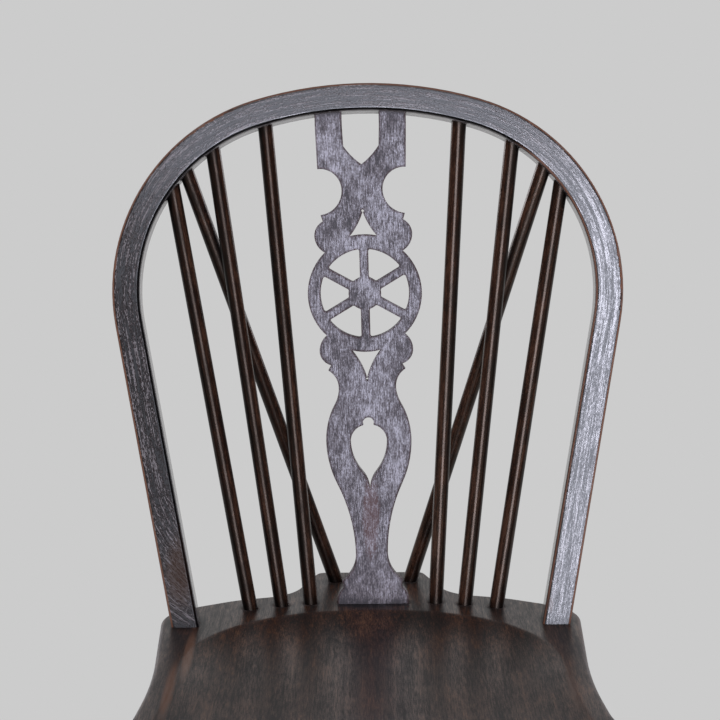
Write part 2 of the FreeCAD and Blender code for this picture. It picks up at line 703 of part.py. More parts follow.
def hoop_foot_axis(side):
    """Two points of an upright's centreline, under the seat and over it."""
    slope = splay_sin / splay_cos
    low = -dim.seat_thickness * 2
    high = dim.seat_thickness
    return tuple(on_hoop((hoop_foot + w * slope) * side, w) for w in (low, high))


def slab(name, low, high):
    """A wide block between two heights, larger than the chair's plan."""
    item = doc.addObject("Part::Box", name)
    reach = dim.feet_depth
    bind(item, Length=reach * 2, Width=reach * 2, Height=high - low)
    item.setExpression("Placement", shifted((-reach, -reach, low)))
    return item


# Wedges driven up into the bow's tenons, across the grain of the seat
def make_wedge_form(name, side, spare, width):
    body = new_body(name)
    form = new_sketch(body, f"{name}_profile", "YZ_Plane")
    low = -dim.wedge_length / 2
    deeper = dim.wedge_length + spare
    base, tip = dim.wedge_thickness / 2 + spare, dim.wedge_tip_thickness / 2 + spare
    growth = (base - tip) / dim.wedge_length * low
    corners = [(base - growth, low), (tip, deeper), (-tip, deeper), (growth - base, low)]
    draw_outline(form, corners)
    pad = body.newObject("PartDesign::Pad", f"{name}_pad")
    pad.Profile = form
    pad.Midplane = True
    bind(pad, Length=width)
    start, end = wedge_axis(side)
    body.setExpression("Placement", pointing(start, end, ORIGIN))
    return body


def wedge_axis(side):
    """The bow's foot axis, from the seat's underside up."""
    low, high = hoop_foot_axis(side)
    share = (underside_of_seat - low[2]) / (high[2] - low[2])
    start = tuple(a + (b - a) * share for a, b in zip(low, high))
    return start, high


def make_splat_cuts(spare):
    """Mortises for the splat: one in the seat and one in the bow for each prong."""
    boxes = []
    top = splat_length + dim.prong_depth + spare
    root_of_prongs = splat_length - dim.prong_straight
    inner, outer = dim.prong_inner_half, dim.prong_outer_half
    mortises = [
        ("foot_mortise", -dim.foot_half, dim.foot_half, -dim.splat_foot_depth - spare, dim.foot_step_height),
        ("right_prong_mortise", inner, outer, root_of_prongs, top),
        ("left_prong_mortise", -outer, -inner, root_of_prongs, top),
    ]
    for name, left, right, low, high in mortises:
        box = doc.addObject("Part::Box", name)
        bind(box, Length=right - left + spare * 2, Width=dim.splat_thickness + spare * 2, Height=high - low)
        inset = shifted((left - spare, -spare, low))
        box.setExpression("Placement", f"{splat_placement()} * {inset}")
        boxes.append(box)
    return boxes


def splat_placement():
    """On the seat, leaning back into the bow and a little to the left."""
    foot = (dim.feet_aside, dim.back_line + dim.splat_back, dim.seat_height)
    skewed = shifted((ORIGIN, ORIGIN, ORIGIN), f"vector(0; 1; 0); -1 * {dim.splat_skew.text}")
    return f"{leaning(foot, splat_lean)} * {skewed}"


# The splat: one thin board, fretted round its edge and pierced, with the wheel as its eye
def splat_outline():
    rim_x = root(dim.wheel_radius.squared() - dim.wheel_lobe_rise.squared())
    top = splat_length + dim.prong_depth
    shoulder = splat_length - dim.prong_straight
    body_points = [
        (dim.foot_half, -dim.splat_foot_depth, "sharp"),
        (dim.foot_half, dim.foot_edge_height, "sharp"),
        (dim.foot_step_half, dim.foot_step_height, "sharp"),
        (dim.foot_cusp_half, dim.foot_cusp_height, "sharp"),
        (dim.ankle_half, dim.ankle_height, "smooth", Size(1.0, "1") - dim.belly_turn),
        (dim.belly_half, dim.belly_height, "smooth", Size(1.0, "1") - dim.neck_turn),
        (dim.neck_half, dim.neck_height, "smooth"),
        (dim.neck_cusp_half, dim.neck_cusp_height, "sharp"),
        (dim.low_lobe_end_half, dim.low_lobe_end_height, "sharp"),
        (dim.low_lobe_half, dim.low_lobe_height, "smooth"),
        (rim_x, dim.wheel_height - dim.wheel_lobe_rise, "sharp"),
        (rim_x, dim.wheel_height + dim.wheel_lobe_rise, "sharp"),
        (dim.lobe_half, dim.lobe_height, "smooth"),
        (dim.lobe_top_half, dim.lobe_top_height, "sharp"),
        (dim.scoop_cusp_half, dim.scoop_cusp_height, "sharp"),
        (dim.scoop_half, dim.scoop_height, "smooth"),
        (dim.prong_root_outer_half, dim.prong_root_height, "sharp"),
        (dim.prong_outer_half, shoulder, "sharp"),
        (dim.prong_outer_half, top, "sharp"),
        (dim.prong_inner_half, top, "sharp"),
        (dim.prong_inner_half, shoulder, "sharp"),
        (dim.notch_half, dim.notch_height, "sharp"),
        (ORIGIN, dim.notch_bottom, "sharp"),
    ]
    corners, edges = turned(body_points)
    rim = [index for index, corner in enumerate(corners) if corner[0] is rim_x][0]
    edges[rim] = ("left", dim.wheel_radius)
    edges[-1] = ("right", dim.notch_radius)
    edges[1] = ("left", dim.foot_side_radius)
    foot_centre = (ORIGIN, -dim.splat_foot_depth)
    return mirrored([foot_centre] + corners, ["line"] + edges)


def wheel_window():
    """The window that points to the right, between two spokes, about the wheel's middle."""
    slant = Size(180.0, "180") / dim.spoke_count
    aside = dim.spoke_width / 2
    corners = []
    for radius in (dim.wheel_inner_radius, dim.hub_radius):
        along = root(radius.squared() - aside.squared())
        x = along * cosine(slant) + aside * sine(slant)
        y = along * sine(slant) - aside * cosine(slant)
        corners.append((x, y))
    (far_x, far_y), (near_x, near_y) = corners
    points = [(far_x, -far_y), (far_x, far_y), (near_x, near_y), (near_x, -near_y)]
    edges = [("left", dim.wheel_inner_radius), "line", ("right", dim.hub_radius), "line"]
    return points, edges


def small_piercing(half, point, above):
    """A three-sided piercing whose base follows the wheel's rim."""
    rise = root(dim.piercing_radius.squared() - half.squared())
    base = dim.wheel_height + rise if above else dim.wheel_height - rise
    corners = [(half, base), (ORIGIN, point), (-half, base)]
    hollow = ("right" if above else "left", dim.piercing_side_radius)
    return corners, [hollow, hollow, ("right" if above else "left", dim.piercing_radius)]


def drop_piercing():
    points = [
        (ORIGIN, dim.drop_top),
        (dim.drop_neck_half, dim.drop_neck_height),
        (dim.drop_half, dim.drop_height),
    ]
    turn_x = dim.drop_half - dim.drop_half * dim.drop_turn
    turn_y = dim.drop_height + (dim.drop_point - dim.drop_height) * dim.drop_turn
    corners = points + [(turn_x, turn_y), (ORIGIN, dim.drop_point)]
    return mirrored(corners, ["plumb_first", "level_last", "level_first", "level_last"])


def saw_hole(body, name, height):
    """A small hole through the board, on its middle line."""
    outline = new_sketch(body, f"{name}_outline", "XZ_Plane")
    draw = Drawing(outline)
    ring = draw.add(Part.Circle(flat((ORIGIN, height)), Vector(0, 0, 1), dim.saw_hole_radius.value))
    draw.pin(ring, draw.MIDDLE, (ORIGIN, height))
    draw.tie("Radius", dim.saw_hole_radius, ring)
    return through(body, name, outline)


def pocket(body, name, corners, edges):
    outline = new_sketch(body, f"{name}_outline", "XZ_Plane")
    draw_outline(outline, corners, edges)
    return through(body, name, outline)


def through(body, name, outline):
    item = body.newObject("PartDesign::Pocket", name)
    item.Profile = outline
    item.Type = "ThroughAll"
    item.Midplane = True
    return item


def make_splat():
    body = new_body("splat")
    outline = new_sketch(body, "splat_outline", "XZ_Plane")
    draw_outline(outline, *splat_outline())
    pad = body.newObject("PartDesign::Pad", "splat_board")
    pad.Profile = outline
    pad.Reversed = True
    bind(pad, Length=dim.splat_thickness)
    doc.recompute()
    pocket(body, "top_piercing", *small_piercing(dim.top_piercing_half, dim.top_piercing_point, True))
    pocket(body, "low_piercing", *small_piercing(dim.low_piercing_half, dim.low_piercing_point, False))
    saw_hole(body, "top_saw_hole", dim.top_piercing_point + dim.saw_hole_beyond)
    saw_hole(body, "low_saw_hole", dim.low_piercing_point - dim.saw_hole_beyond)
    pocket(body, "drop_piercing", *drop_piercing())
    window = pocket(body, "wheel_window", *wheel_window())
    eye = body.getObject("wheel_window_outline")
    eye.setExpression("AttachmentOffset", shifted((ORIGIN, dim.wheel_height, ORIGIN)))
    doc.recompute()
    spokes = body.newObject("PartDesign::PolarPattern", "wheel_windows")
    spokes.Originals = [window]
    spokes.Axis = (eye, ["N_Axis"])
    spokes.Angle = 360
    bind(spokes, Occurrences=dim.spoke_count)
    body.Tip = spokes
    doc.recompute()
    rounding = body.newObject("PartDesign::Fillet", "window_corners")
    rounding.Base = (spokes, window_corners(spokes.Shape))
    bind(rounding, Radius=dim.window_corner_radius)
    body.setExpression("Placement", splat_placement())
    return body


def window_corners(board):
    """Names of the short edges through the board at the corners of the wheel's windows."""
    names = []
    for number, edge in enumerate(board.Edges, start=1):
        middle = edge.CenterOfMass
        aside = math.hypot(middle.x, middle.z - dim.wheel_height.value)
        through = edge.BoundBox.YLength > 0.9 * dim.splat_thickness.value
        if through and aside < dim.wheel_inner_radius.value + dim.glue_gap.value:
            names.append(f"Edge{number}")
    return names


# Back sticks: plain dowels from the seat up into the bow
def stick_lines():
    """Foot and top of every stick, by name."""
    lines = {}
    for side, word in ((1, "right"), (-1, "left")):
        lines[f"stick_{word}_outer"] = (
            on_seat(dim.outer_foot_half * side, dim.outer_foot_back),
            on_shoulder(side, dim.outer_top_angle),
        )
        lines[f"stick_{word}_middle"] = (
            on_seat(dim.middle_foot_half * side, dim.middle_foot_back),
            on_shoulder(side, dim.middle_top_angle + dim.shoulder_drift * side),
        )
        lines[f"stick_{word}_inner"] = (
            on_seat(dim.inner_foot_half * side, dim.inner_foot_back),
            on_crown(side, dim.inner_top_angle - dim.crown_drift * side),
        )
        lines[f"brace_{word}"] = (
            on_seat(dim.brace_foot_half * side, dim.brace_foot_back),
            on_shoulder(side, dim.brace_top_angle + dim.brace_drift * side),
        )
    return lines


def make_sticks():
    """The sticks, and the sockets that they leave in the seat and in the bow."""
    seat_sockets, bow_sockets = [], []
    for name, (foot, top) in stick_lines().items():
        size = dim.brace_diameter if name.startswith("brace") else dim.stick_diameter
        stick = rod(name, foot, top, size, dim.stick_foot_depth, dim.stick_top_depth)
        stick.Label = name
        bore = size + dim.glue_gap * 2
        deep = dim.stick_foot_depth + dim.glue_gap
        _, length = way(foot, top)
        seat_sockets.append(rod(f"{name}_foot_socket", foot, top, bore, deep, size - length))
        high = dim.stick_top_depth + dim.glue_gap
        bow_sockets.append(rod(f"{name}_top_socket", foot, top, bore, size * 2 - length, high))
    return seat_sockets, bow_sockets


# Legs and stretchers: turned in the lathe
def make_turning(name, corners, edges, placement):
    """A solid turned from the outline of its right half, given from its lower end up."""
    body = new_body(name)
    profile = new_sketch(body, f"{name}_profile", "XZ_Plane")
    ends = [(ORIGIN, corners[-1][1]), (ORIGIN, corners[0][1])]
    draw_outline(profile, corners + ends, edges + ["line"] * 3)
    solid = body.newObject("PartDesign::Revolution", f"{name}_turned")
    solid.Profile = profile
    solid.ReferenceAxis = (profile, ["V_Axis"])
    solid.Angle = 360
    body.setExpression("Placement", placement)
    return body


def leg_line(side, front):
    """Foot and top of a leg's axis, on the floor and at the seat's underside."""
    aside = dim.front_foot_half if front else dim.rear_foot_half
    ahead = -dim.feet_depth / 2 if front else dim.feet_depth / 2
    top_aside = dim.front_leg_top_half if front else dim.rear_leg_top_half
    top_back = -dim.front_leg_top_front if front else dim.rear_leg_top_back
    foot = (aside * side, ahead, ORIGIN)
    return foot, (top_aside * side, dim.back_line + top_back, underside_of_seat)


def leg_outline(length):
    """A leg from under the floor to the end of its tenon: tapers between swellings, and two rings."""
    groove, ring = dim.leg_groove_radius, dim.leg_ring_width
    rise = dim.leg_ring_radius - groove
    bead = ("left", (ring.squared() / 4 + rise.squared()) / (rise * 2))
    corners = [
        (dim.leg_foot_radius, -dim.leg_foot_radius),
        (dim.leg_bulb_radius, dim.leg_bulb_height, dim.leg_bulb_rounding),
        (groove, dim.leg_low_neck_height),
        (groove, dim.leg_low_neck_height + ring),
        (dim.leg_swell_radius, dim.leg_swell_height - dim.leg_swell_length / 2),
        (dim.leg_swell_radius, dim.leg_swell_height + dim.leg_swell_length / 2),
        (groove, length - dim.leg_high_neck_drop),
        (groove, length - dim.leg_high_neck_drop + ring),
        (dim.leg_shoulder_radius, length - dim.leg_shoulder_drop, dim.leg_shoulder_rounding),
        (dim.leg_tenon_radius, length - dim.leg_tenon_bare),
        (dim.leg_tenon_radius, length + dim.leg_tenon_length),
    ]
    return corners, ["line", "line", bead, "line", "line", "line", bead, "line", "line", "line"]


def between(first, last, share):
    return tuple(a + (b - a) * share for a, b in zip(first, last))


def stretcher_ends(side):
    """Where a side stretcher meets the middles of its front and rear leg."""
    share = dim.stretcher_height / underside_of_seat
    return tuple(between(*leg_line(side, front), share) for front in (True, False))


def make_stretcher(name, start, end):
    _, whole = way(start, end)
    length = whole - dim.stretcher_stop * 2
    straight = dim.stretcher_end_length
    corners = [
        (dim.stretcher_end_radius, ORIGIN),
        (dim.stretcher_end_radius, straight),
        (dim.stretcher_swell_radius, (length - dim.stretcher_swell_length) / 2),
        (dim.stretcher_swell_radius, (length + dim.stretcher_swell_length) / 2),
        (dim.stretcher_end_radius, length - straight),
        (dim.stretcher_end_radius, length),
    ]
    return make_turning(name, corners, ["line"] * 5, pointing(start, end, -dim.stretcher_stop))


def stretcher_socket(name, start, end):
    """The blind hole at the start of a stretcher, for the piece that holds it there."""
    _, length = way(start, end)
    bore = dim.stretcher_end_radius * 2 + dim.glue_gap * 2
    return rod(name, start, end, bore, dim.glue_gap - dim.stretcher_stop, dim.leg_swell_radius * 2 - length)


def make_undercarriage(floor):
    """Legs and stretchers, and the leg sockets for the seat."""
    seat_sockets = []
    ends = {side: stretcher_ends(side) for side in (1, -1)}
    middles = {side: between(*ends[side], Size(0.5, "0.5")) for side in (1, -1)}
    for side, word in ((1, "right"), (-1, "left")):
        for front, place_word in ((True, "front"), (False, "rear")):
            name = f"leg_{place_word}_{word}"
            foot, top = leg_line(side, front)
            _, length = way(foot, top)
            turning = make_turning(f"{name}_turning", *leg_outline(length), pointing(foot, top, ORIGIN))
            here, there = ends[side] if front else ends[side][::-1]
            cut(name, turning, [floor, stretcher_socket(f"{name}_socket", here, there)])
            bore = dim.leg_tenon_radius * 2 + dim.glue_gap * 2
            deep = dim.leg_tenon_length + dim.glue_gap
            seat_sockets.append(rod(f"{name}_seat_socket", foot, top, bore, bore - length, deep))
        plain = make_stretcher(f"stretcher_{word}_turning", *ends[side])
        socket = stretcher_socket(f"stretcher_{word}_socket", middles[side], middles[-side])
        cut(f"stretcher_{word}", plain, [socket])
    cross = make_stretcher("stretcher_cross", middles[-1], middles[1])
    cross.Label = "stretcher_cross"
    return seat_sockets


def make_hoop(below_seat, sockets):
    """The bow with its feet squared to the seat, round tenons under them and saw kerfs for the wedges."""
    blank = make_hoop_blank()
    waste = slab("waste_block", -dim.seat_thickness * 3, dim.seat_height)
    bore = dim.hoop_tenon_diameter
    tenons = [rod(f"tenon_{side}", *hoop_foot_axis(side), bore) for side in (1, -1)]
    tenon_holes = [
        rod(f"tenon_hole_{side}", *hoop_foot_axis(side), bore + dim.glue_gap * 2) for side in (1, -1)
    ]
    shouldered = cut("bow_shouldered", blank, [cut("tenon_waste", waste, tenons)])
    flush = cut("bow_flush", shouldered, [below_seat])
    kerfs = []
    for side, word in ((1, "right"), (-1, "left")):
        kerfs.append(make_wedge_form(f"kerf_{word}", side, dim.glue_gap, bore * 2))
        wedge = make_wedge_form(f"wedge_{word}_form", side, ORIGIN, dim.wedge_width)
        cut(f"wedge_{word}", wedge, [below_seat])
    cut("hoop", flush, kerfs + sockets)
    return tenon_holes


def make_chair():
    below_seat = slab("below_seat", -dim.seat_height, underside_of_seat)
    floor = slab("floor_block", -dim.seat_height, ORIGIN)
    foot_mortise, *prong_mortises = make_splat_cuts(dim.glue_gap)
    splat = make_splat()
    splat.Label = "splat"
    stick_sockets, bow_sockets = make_sticks()
    tenon_holes = make_hoop(below_seat, bow_sockets + prong_mortises)
    leg_sockets = make_undercarriage(floor)
    hollowed = cut("seat_hollowed", make_seat_board(), [make_dish()])
    cut("seat", hollowed, stick_sockets + tenon_holes + leg_sockets + [foot_mortise])


NODES = ["seat", "hoop", "splat", "brace_left", "brace_right", "stretcher_left", "stretcher_right"]
NODES += ["stretcher_cross", "wedge_left", "wedge_right"]
NODES += [f"stick_{side}_{row}" for side in ("left", "right") for row in ("outer", "middle", "inner")]
NODES += [f"leg_{end}_{side}" for end in ("front", "rear") for side in ("left", "right")]


def check_and_write():
    for item in doc.Objects:
        if "Invalid" in item.State or "Error" in item.State:
            raise RuntimeError(f"{item.Name} failed: {item.State}")
    for name in NODES:
        (item,) = doc.getObjectsByLabel(name)
        shape = item.Shape
        if shape.isNull() or not shape.isValid() or len(shape.Solids) != 1:
            raise RuntimeError(f"{name} is not one valid solid")
        print(name, round(shape.Volume / 1000, 2), "cubic centimetres")
    os.makedirs("parts", exist_ok=True)
    for name in NODES:
        doc.getObjectsByLabel(name)[0].Shape.exportStep(os.path.join("parts", f"{name}.step"))


make_chair()
doc.recompute()
check_and_write()
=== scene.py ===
# %% [markdown]
# # An old wheelback chair, stained dark and waxed
#
# The chair's solid pieces come ready made, each as a mesh in its right place: a hollowed seat, a bent
# bow, a pierced splat with a wheel, eight round sticks, four turned legs, three stretchers and two small
# wedges. What is left for Blender is what the eye meets first: the open grain of the woods, the worn
# dark stain, the wax polish and the soft light that it throws back. No mesh is changed here. All of it
# is done with materials that are worked out from each point's place on the chair.

# %% Load the chair
import math

import bpy
from mathutils import Matrix, Vector


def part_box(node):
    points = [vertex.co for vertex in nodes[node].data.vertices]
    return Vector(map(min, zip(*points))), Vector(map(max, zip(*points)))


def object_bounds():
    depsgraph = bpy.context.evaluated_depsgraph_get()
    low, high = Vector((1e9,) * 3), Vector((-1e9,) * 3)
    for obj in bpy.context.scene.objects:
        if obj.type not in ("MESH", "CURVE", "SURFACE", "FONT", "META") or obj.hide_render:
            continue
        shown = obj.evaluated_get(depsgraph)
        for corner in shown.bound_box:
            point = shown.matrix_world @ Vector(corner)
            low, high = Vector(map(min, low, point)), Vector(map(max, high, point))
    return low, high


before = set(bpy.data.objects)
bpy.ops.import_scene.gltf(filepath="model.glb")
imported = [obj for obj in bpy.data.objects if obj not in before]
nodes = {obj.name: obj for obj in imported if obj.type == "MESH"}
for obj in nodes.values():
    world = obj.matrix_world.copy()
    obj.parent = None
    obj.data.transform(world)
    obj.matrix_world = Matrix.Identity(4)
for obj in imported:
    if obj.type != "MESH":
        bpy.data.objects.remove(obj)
solid_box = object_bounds()
low, high = [[round(v, 3) for v in corner] for corner in solid_box]
print(len(nodes), "pieces, from", low, "to", high, "m")

# %% [markdown]
# ## The camera
#
# A camera is a place, three angles and a lens. They could be tried by eye, but the photograph settles
# them: the seat's rim is level, the back is a plane that leans, and only one camera draws both as they
# are there. It stands in front of the chair, about one metre up, and looks a little down through a long
# lens. It is also rolled by about half a degree, so the chair leans slightly to one side of the picture.

# %% How a camera is turned
MM = 0.001


def aim(pitch, yaw, roll):
    """A camera's turning matrix from degrees looked down, to the right and rolled."""
    pitch, yaw, roll = math.radians(pitch), math.radians(yaw), math.radians(roll)
    forward = Vector((math.sin(yaw) * math.cos(pitch), math.cos(yaw) * math.cos(pitch), -math.sin(pitch)))
    level = forward.cross(Vector((0, 0, 1))).normalized()
    upright = level.cross(forward)
    right = math.cos(roll) * level - math.sin(roll) * upright
    up = math.sin(roll) * level + math.cos(roll) * upright
    return Matrix((right, up, -forward)).transposed()


print("a camera that isn't turned looks along", [round(-v, 3) for v in aim(0, 0, 0).col[2]])

# %% Place the camera
CAMERA_PLACE = Vector((0, -1462.5, 970.7)) * MM
PITCH, YAW, ROLL = 11.372, -0.243, 0.6
SENSOR_WIDTH = 36
LENS_LENGTH = 99.31
PICTURE_WIDTH = 720
BOW_MIDDLE = Vector((0, 120, 620)) * MM

lens = bpy.data.cameras.new("camera")
lens.sensor_width = SENSOR_WIDTH
lens.lens = LENS_LENGTH
camera = bpy.data.objects.new("camera", lens)
camera.matrix_world = Matrix.Translation(CAMERA_PLACE) @ aim(PITCH, YAW, ROLL).to_4x4()
bpy.context.scene.collection.objects.link(camera)
bpy.context.scene.camera = camera
picture_point = SENSOR_WIDTH / LENS_LENGTH * (BOW_MIDDLE - CAMERA_PLACE).length / PICTURE_WIDTH
print("one point of the picture covers", round(picture_point / MM, 2), "mm of the chair's back")

# %% [markdown]
# ## Colours and nodes
#
# Paint charts, web pages and screens give a colour as six hex digits, which Blender calls sRGB. Its
# shaders reckon in linear light, so one function turns the first into the second. A second function
# adds a shader node: what kind it is, what is set on it, and what feeds each of its sockets. A node
# handed to it as a feed means that node's first output. A material could also be drawn by hand in the
# shader editor, but written out it can be read, and the same steps can serve every wood.

# %% Two helpers
def hex_colour(text):
    """Turns an sRGB hex colour such as "#5a4a3c" into linear light with full alpha."""
    levels = [int(text[i : i + 2], 16) / 255 for i in (1, 3, 5)]
    return [v / 12.92 if v <= 0.04045 else ((v + 0.055) / 1.055) ** 2.4 for v in levels] + [1.0]


def add(tree, kind, feeds, **settings):
    """Adds one node with its settings, and feeds its sockets from values, sockets or other nodes."""
    made = tree.nodes.new("ShaderNode" + kind)
    for name, value in settings.items():
        setattr(made, name, value)
    for socket, feed in feeds.items():
        if isinstance(feed, bpy.types.Node):
            feed = feed.outputs[0]
        if isinstance(feed, bpy.types.NodeSocket):
            tree.links.new(feed, made.inputs[socket])
        else:
            made.inputs[socket].default_value = feed
    return made


print("middle grey #808080 is", round(hex_colour("#808080")[0], 3), "in linear light")

# %% [markdown]
# ## Where the grain runs
#
# Wood is a bundle of long fibres, so every pattern in it is stretched along them. Each material here
# starts by turning a point's place into two distances across the fibres and one along them. On a seat
# board, a stick or a leg that is a plain turn of the axes. A texture could be unwrapped onto each piece
# instead, but wood is the same all through, and a pattern worked out in space is cut by a piece's faces
# just as a saw cuts through a board.

# %% Straight grain
LEAN = math.radians(13)


def straight_grain(origin, along):
    """Returns a maker of coordinates whose z runs with the fibres, from a point and a direction."""
    turn = Vector(along).to_track_quat("Z", "Y").inverted().to_matrix()
    print("grain along", [round(v, 2) for v in Vector(along).normalized()])

    def place(tree):
        here = add(tree, "TexCoord", {}).outputs["Object"]
        angles = turn.to_euler()
        start = -(turn @ Vector(origin))
        return add(tree, "Mapping", {"Vector": here, "Location": start, "Rotation": angles})

    return place


splat_grain = straight_grain((0, 0, 0), (0, math.sin(LEAN), math.cos(LEAN)))
seat_grain = straight_grain((0, 0, 0), (0, 1, 0))

# %% [markdown]
# The bow was a straight stick, steamed until it could be bent round a form, so its fibres run round the
# bend with it. There the distance across is measured from the bow's outer edge. Seen on the bow's own
# leaning plane, that edge is a straight line from the foot up, an arc round the shoulder and a wider arc
# over the crown. The middle of the shoulder's arc follows from two facts: it touches the straight line,
# and it touches the crown's arc from inside.

# %% The bow's outer edge
SPLAY = math.radians(10.15)
BOW_HEIGHT = 446.6 * MM
CROWN_RADIUS = 329 * MM
SHOULDER_RADIUS = 163.6 * MM
BOW_FOOT = Vector((163.6, 0)) * MM
CROWN = Vector((0, BOW_HEIGHT - CROWN_RADIUS))
UP_THE_SIDE = Vector((math.sin(SPLAY), math.cos(SPLAY)))
OUT_FROM_SIDE = Vector((math.cos(SPLAY), -math.sin(SPLAY)))


def shoulder_place():
    """The middle of the shoulder's arc, and the length of the straight upright below it."""
    start = BOW_FOOT - SHOULDER_RADIUS * OUT_FROM_SIDE - CROWN
    reach = CROWN_RADIUS - SHOULDER_RADIUS
    half = start.dot(UP_THE_SIDE)
    length = -half + math.sqrt(half * half - start.length_squared + reach * reach)
    return CROWN + start + length * UP_THE_SIDE, length


shoulder, upright = shoulder_place()
print("shoulder's middle", [round(v / MM, 1) for v in shoulder], "upright", round(upright / MM, 1), "mm")

# %% [markdown]
# The distance along the bow is counted from the top of its crown, down to each foot. It grows by an
# arc's radius times its angle, and the line and the arcs join on without a step.

# %% Where the line and the arcs meet
MEETING = math.atan2(*reversed((shoulder - CROWN).to_2d()))
CROWN_START = SHOULDER_RADIUS * (MEETING + SPLAY) - CROWN_RADIUS * MEETING
CROWN_TOP = CROWN_START + CROWN_RADIUS * math.pi / 2
print("from foot to foot", round(2 * (CROWN_TOP + upright) / MM), "mm")

# %% The bow's own plane
SEAT_HEIGHT = 437 * MM
BACK_LINE = 87.5 * MM


def bow_plane(tree):
    """A point's place on the bow's leaning plane: to the right, into its depth and up from the seat."""
    here = add(tree, "TexCoord", {}).outputs["Object"]
    origin = Vector((0, BACK_LINE, SEAT_HEIGHT))
    turn = Matrix.Rotation(LEAN, 3, "X")
    plane = add(tree, "Mapping", {"Vector": here, "Location": -(turn @ origin), "Rotation": (LEAN, 0, 0)})
    return add(tree, "SeparateXYZ", {0: plane}).outputs


print("the bow's face meets the seat", BACK_LINE / MM, "mm behind the chair's middle")


# %% Round the bend
def on_shoulder(tree, flat):
    """Four distances: the height past the upright's top, that across from the upright's outer line, and
    those along and across the shoulder's arc."""
    from_shoulder = add(tree, "VectorMath", {0: flat, 1: (*shoulder, 0)}, operation="SUBTRACT")
    up_line = add(tree, "VectorMath", {0: from_shoulder, 1: (*UP_THE_SIDE, 0)},
                  operation="DOT_PRODUCT").outputs["Value"]
    out_line = add(tree, "VectorMath", {0: from_shoulder, 1: (*OUT_FROM_SIDE, 0)},
                   operation="DOT_PRODUCT").outputs["Value"]
    line_across = add(tree, "Math", {0: out_line, 1: SHOULDER_RADIUS}, operation="SUBTRACT")
    reach = add(tree, "VectorMath", {0: from_shoulder}, operation="LENGTH").outputs["Value"]
    turn = add(tree, "Math", {0: up_line, 1: out_line}, operation="ARCTAN2")
    along = add(tree, "Math", {0: turn, 1: SHOULDER_RADIUS}, operation="MULTIPLY")
    across = add(tree, "Math", {0: reach, 1: SHOULDER_RADIUS}, operation="SUBTRACT")
    return up_line, line_across, along, across


def on_crown(tree, flat):
    """The angle round the crown's middle, and the distances along and across its arc."""
    from_crown = add(tree, "VectorMath", {0: flat, 1: (*CROWN, 0)}, operation="SUBTRACT")
    reach = add(tree, "VectorMath", {0: from_crown}, operation="LENGTH").outputs["Value"]
    x, y, _ = add(tree, "SeparateXYZ", {0: from_crown}).outputs
    turn = add(tree, "Math", {0: y, 1: x}, operation="ARCTAN2")
    along = add(tree, "Math", {0: turn, 1: CROWN_RADIUS, 2: CROWN_START}, operation="MULTIPLY_ADD")
    across = add(tree, "Math", {0: reach, 1: CROWN_RADIUS}, operation="SUBTRACT")
    return turn, along, across


print("the crown's arc starts", round(math.degrees(MEETING), 1), "degrees above the level")

# %% [markdown]
# Each point of the bow belongs to the line, the shoulder or the crown, and takes its two distances from
# that one. At the left foot the real stick's fibres don't keep to the bend: over the last part they run
# out through the inner edge, as they do in a stick that was split a little off its grain. So the grain
# there drifts across by an amount that grows with the square of the distance.

# %% Grain that follows the bow
RUN_OUT = 125 * MM
DRIFT_AT_FOOT = 0.5 * RUN_OUT


def bow_grain(tree):
    """Coordinates on the bow: x across from its outer edge, y into its depth, z along the bend."""
    x, depth, rise = bow_plane(tree)
    outward = add(tree, "Math", {0: x}, operation="ABSOLUTE")
    flat = add(tree, "CombineXYZ", {"X": outward, "Y": rise})
    up_line, line_across, shoulder_along, shoulder_across = on_shoulder(tree, flat)
    crown_turn, crown_along, crown_across = on_crown(tree, flat)

    past_meeting = add(tree, "Math", {0: crown_turn, 1: MEETING}, operation="GREATER_THAN")
    on_line = add(tree, "Math", {0: up_line, 1: 0.0}, operation="LESS_THAN")
    arc_along = add(tree, "Mix", {0: past_meeting, 2: shoulder_along, 3: crown_along})
    arc_across = add(tree, "Mix", {0: past_meeting, 2: shoulder_across, 3: crown_across})
    along = add(tree, "Mix", {0: on_line, 2: arc_along, 3: up_line})
    across = add(tree, "Mix", {0: on_line, 2: arc_across, 3: line_across})
    from_top = add(tree, "Math", {0: along, 1: CROWN_TOP}, operation="SUBTRACT")
    side = add(tree, "Math", {0: x}, operation="SIGN")
    signed = add(tree, "Math", {0: from_top, 1: side}, operation="MULTIPLY")

    low = add(tree, "MapRange", {"Value": up_line, "From Min": RUN_OUT - upright, "From Max": -upright,
                                 "To Min": 0.0, "To Max": RUN_OUT})
    on_left = add(tree, "Math", {0: x, 1: 0.0}, operation="LESS_THAN")
    low_left = add(tree, "Math", {0: low, 1: on_left}, operation="MULTIPLY")
    squared = add(tree, "Math", {0: low_left, 1: 2.0}, operation="POWER")
    drift = DRIFT_AT_FOOT / (RUN_OUT * RUN_OUT)
    drifted = add(tree, "Math", {0: squared, 1: drift, 2: across}, operation="MULTIPLY_ADD")
    return add(tree, "CombineXYZ", {"X": drifted, "Y": depth, "Z": signed})


print("at the left foot the grain has drifted", round(DRIFT_AT_FOOT / MM), "mm across")

# %% [markdown]
# ## Edges
#
# Hands and cloths rub the stain off a chair's edges first, and the red-brown wood shows there. Most
# pieces here have sharp edges, and the Bevel node rounds them in the shading alone: where its rounded
# normal differs from the face's own, there is an edge. The edges could be cut in the mesh too, but for
# a line as thin as one or two points of the picture the shading is enough.

# %% Sharp edges
FLAT_MATCH, EDGE_MATCH = 0.996, 0.95


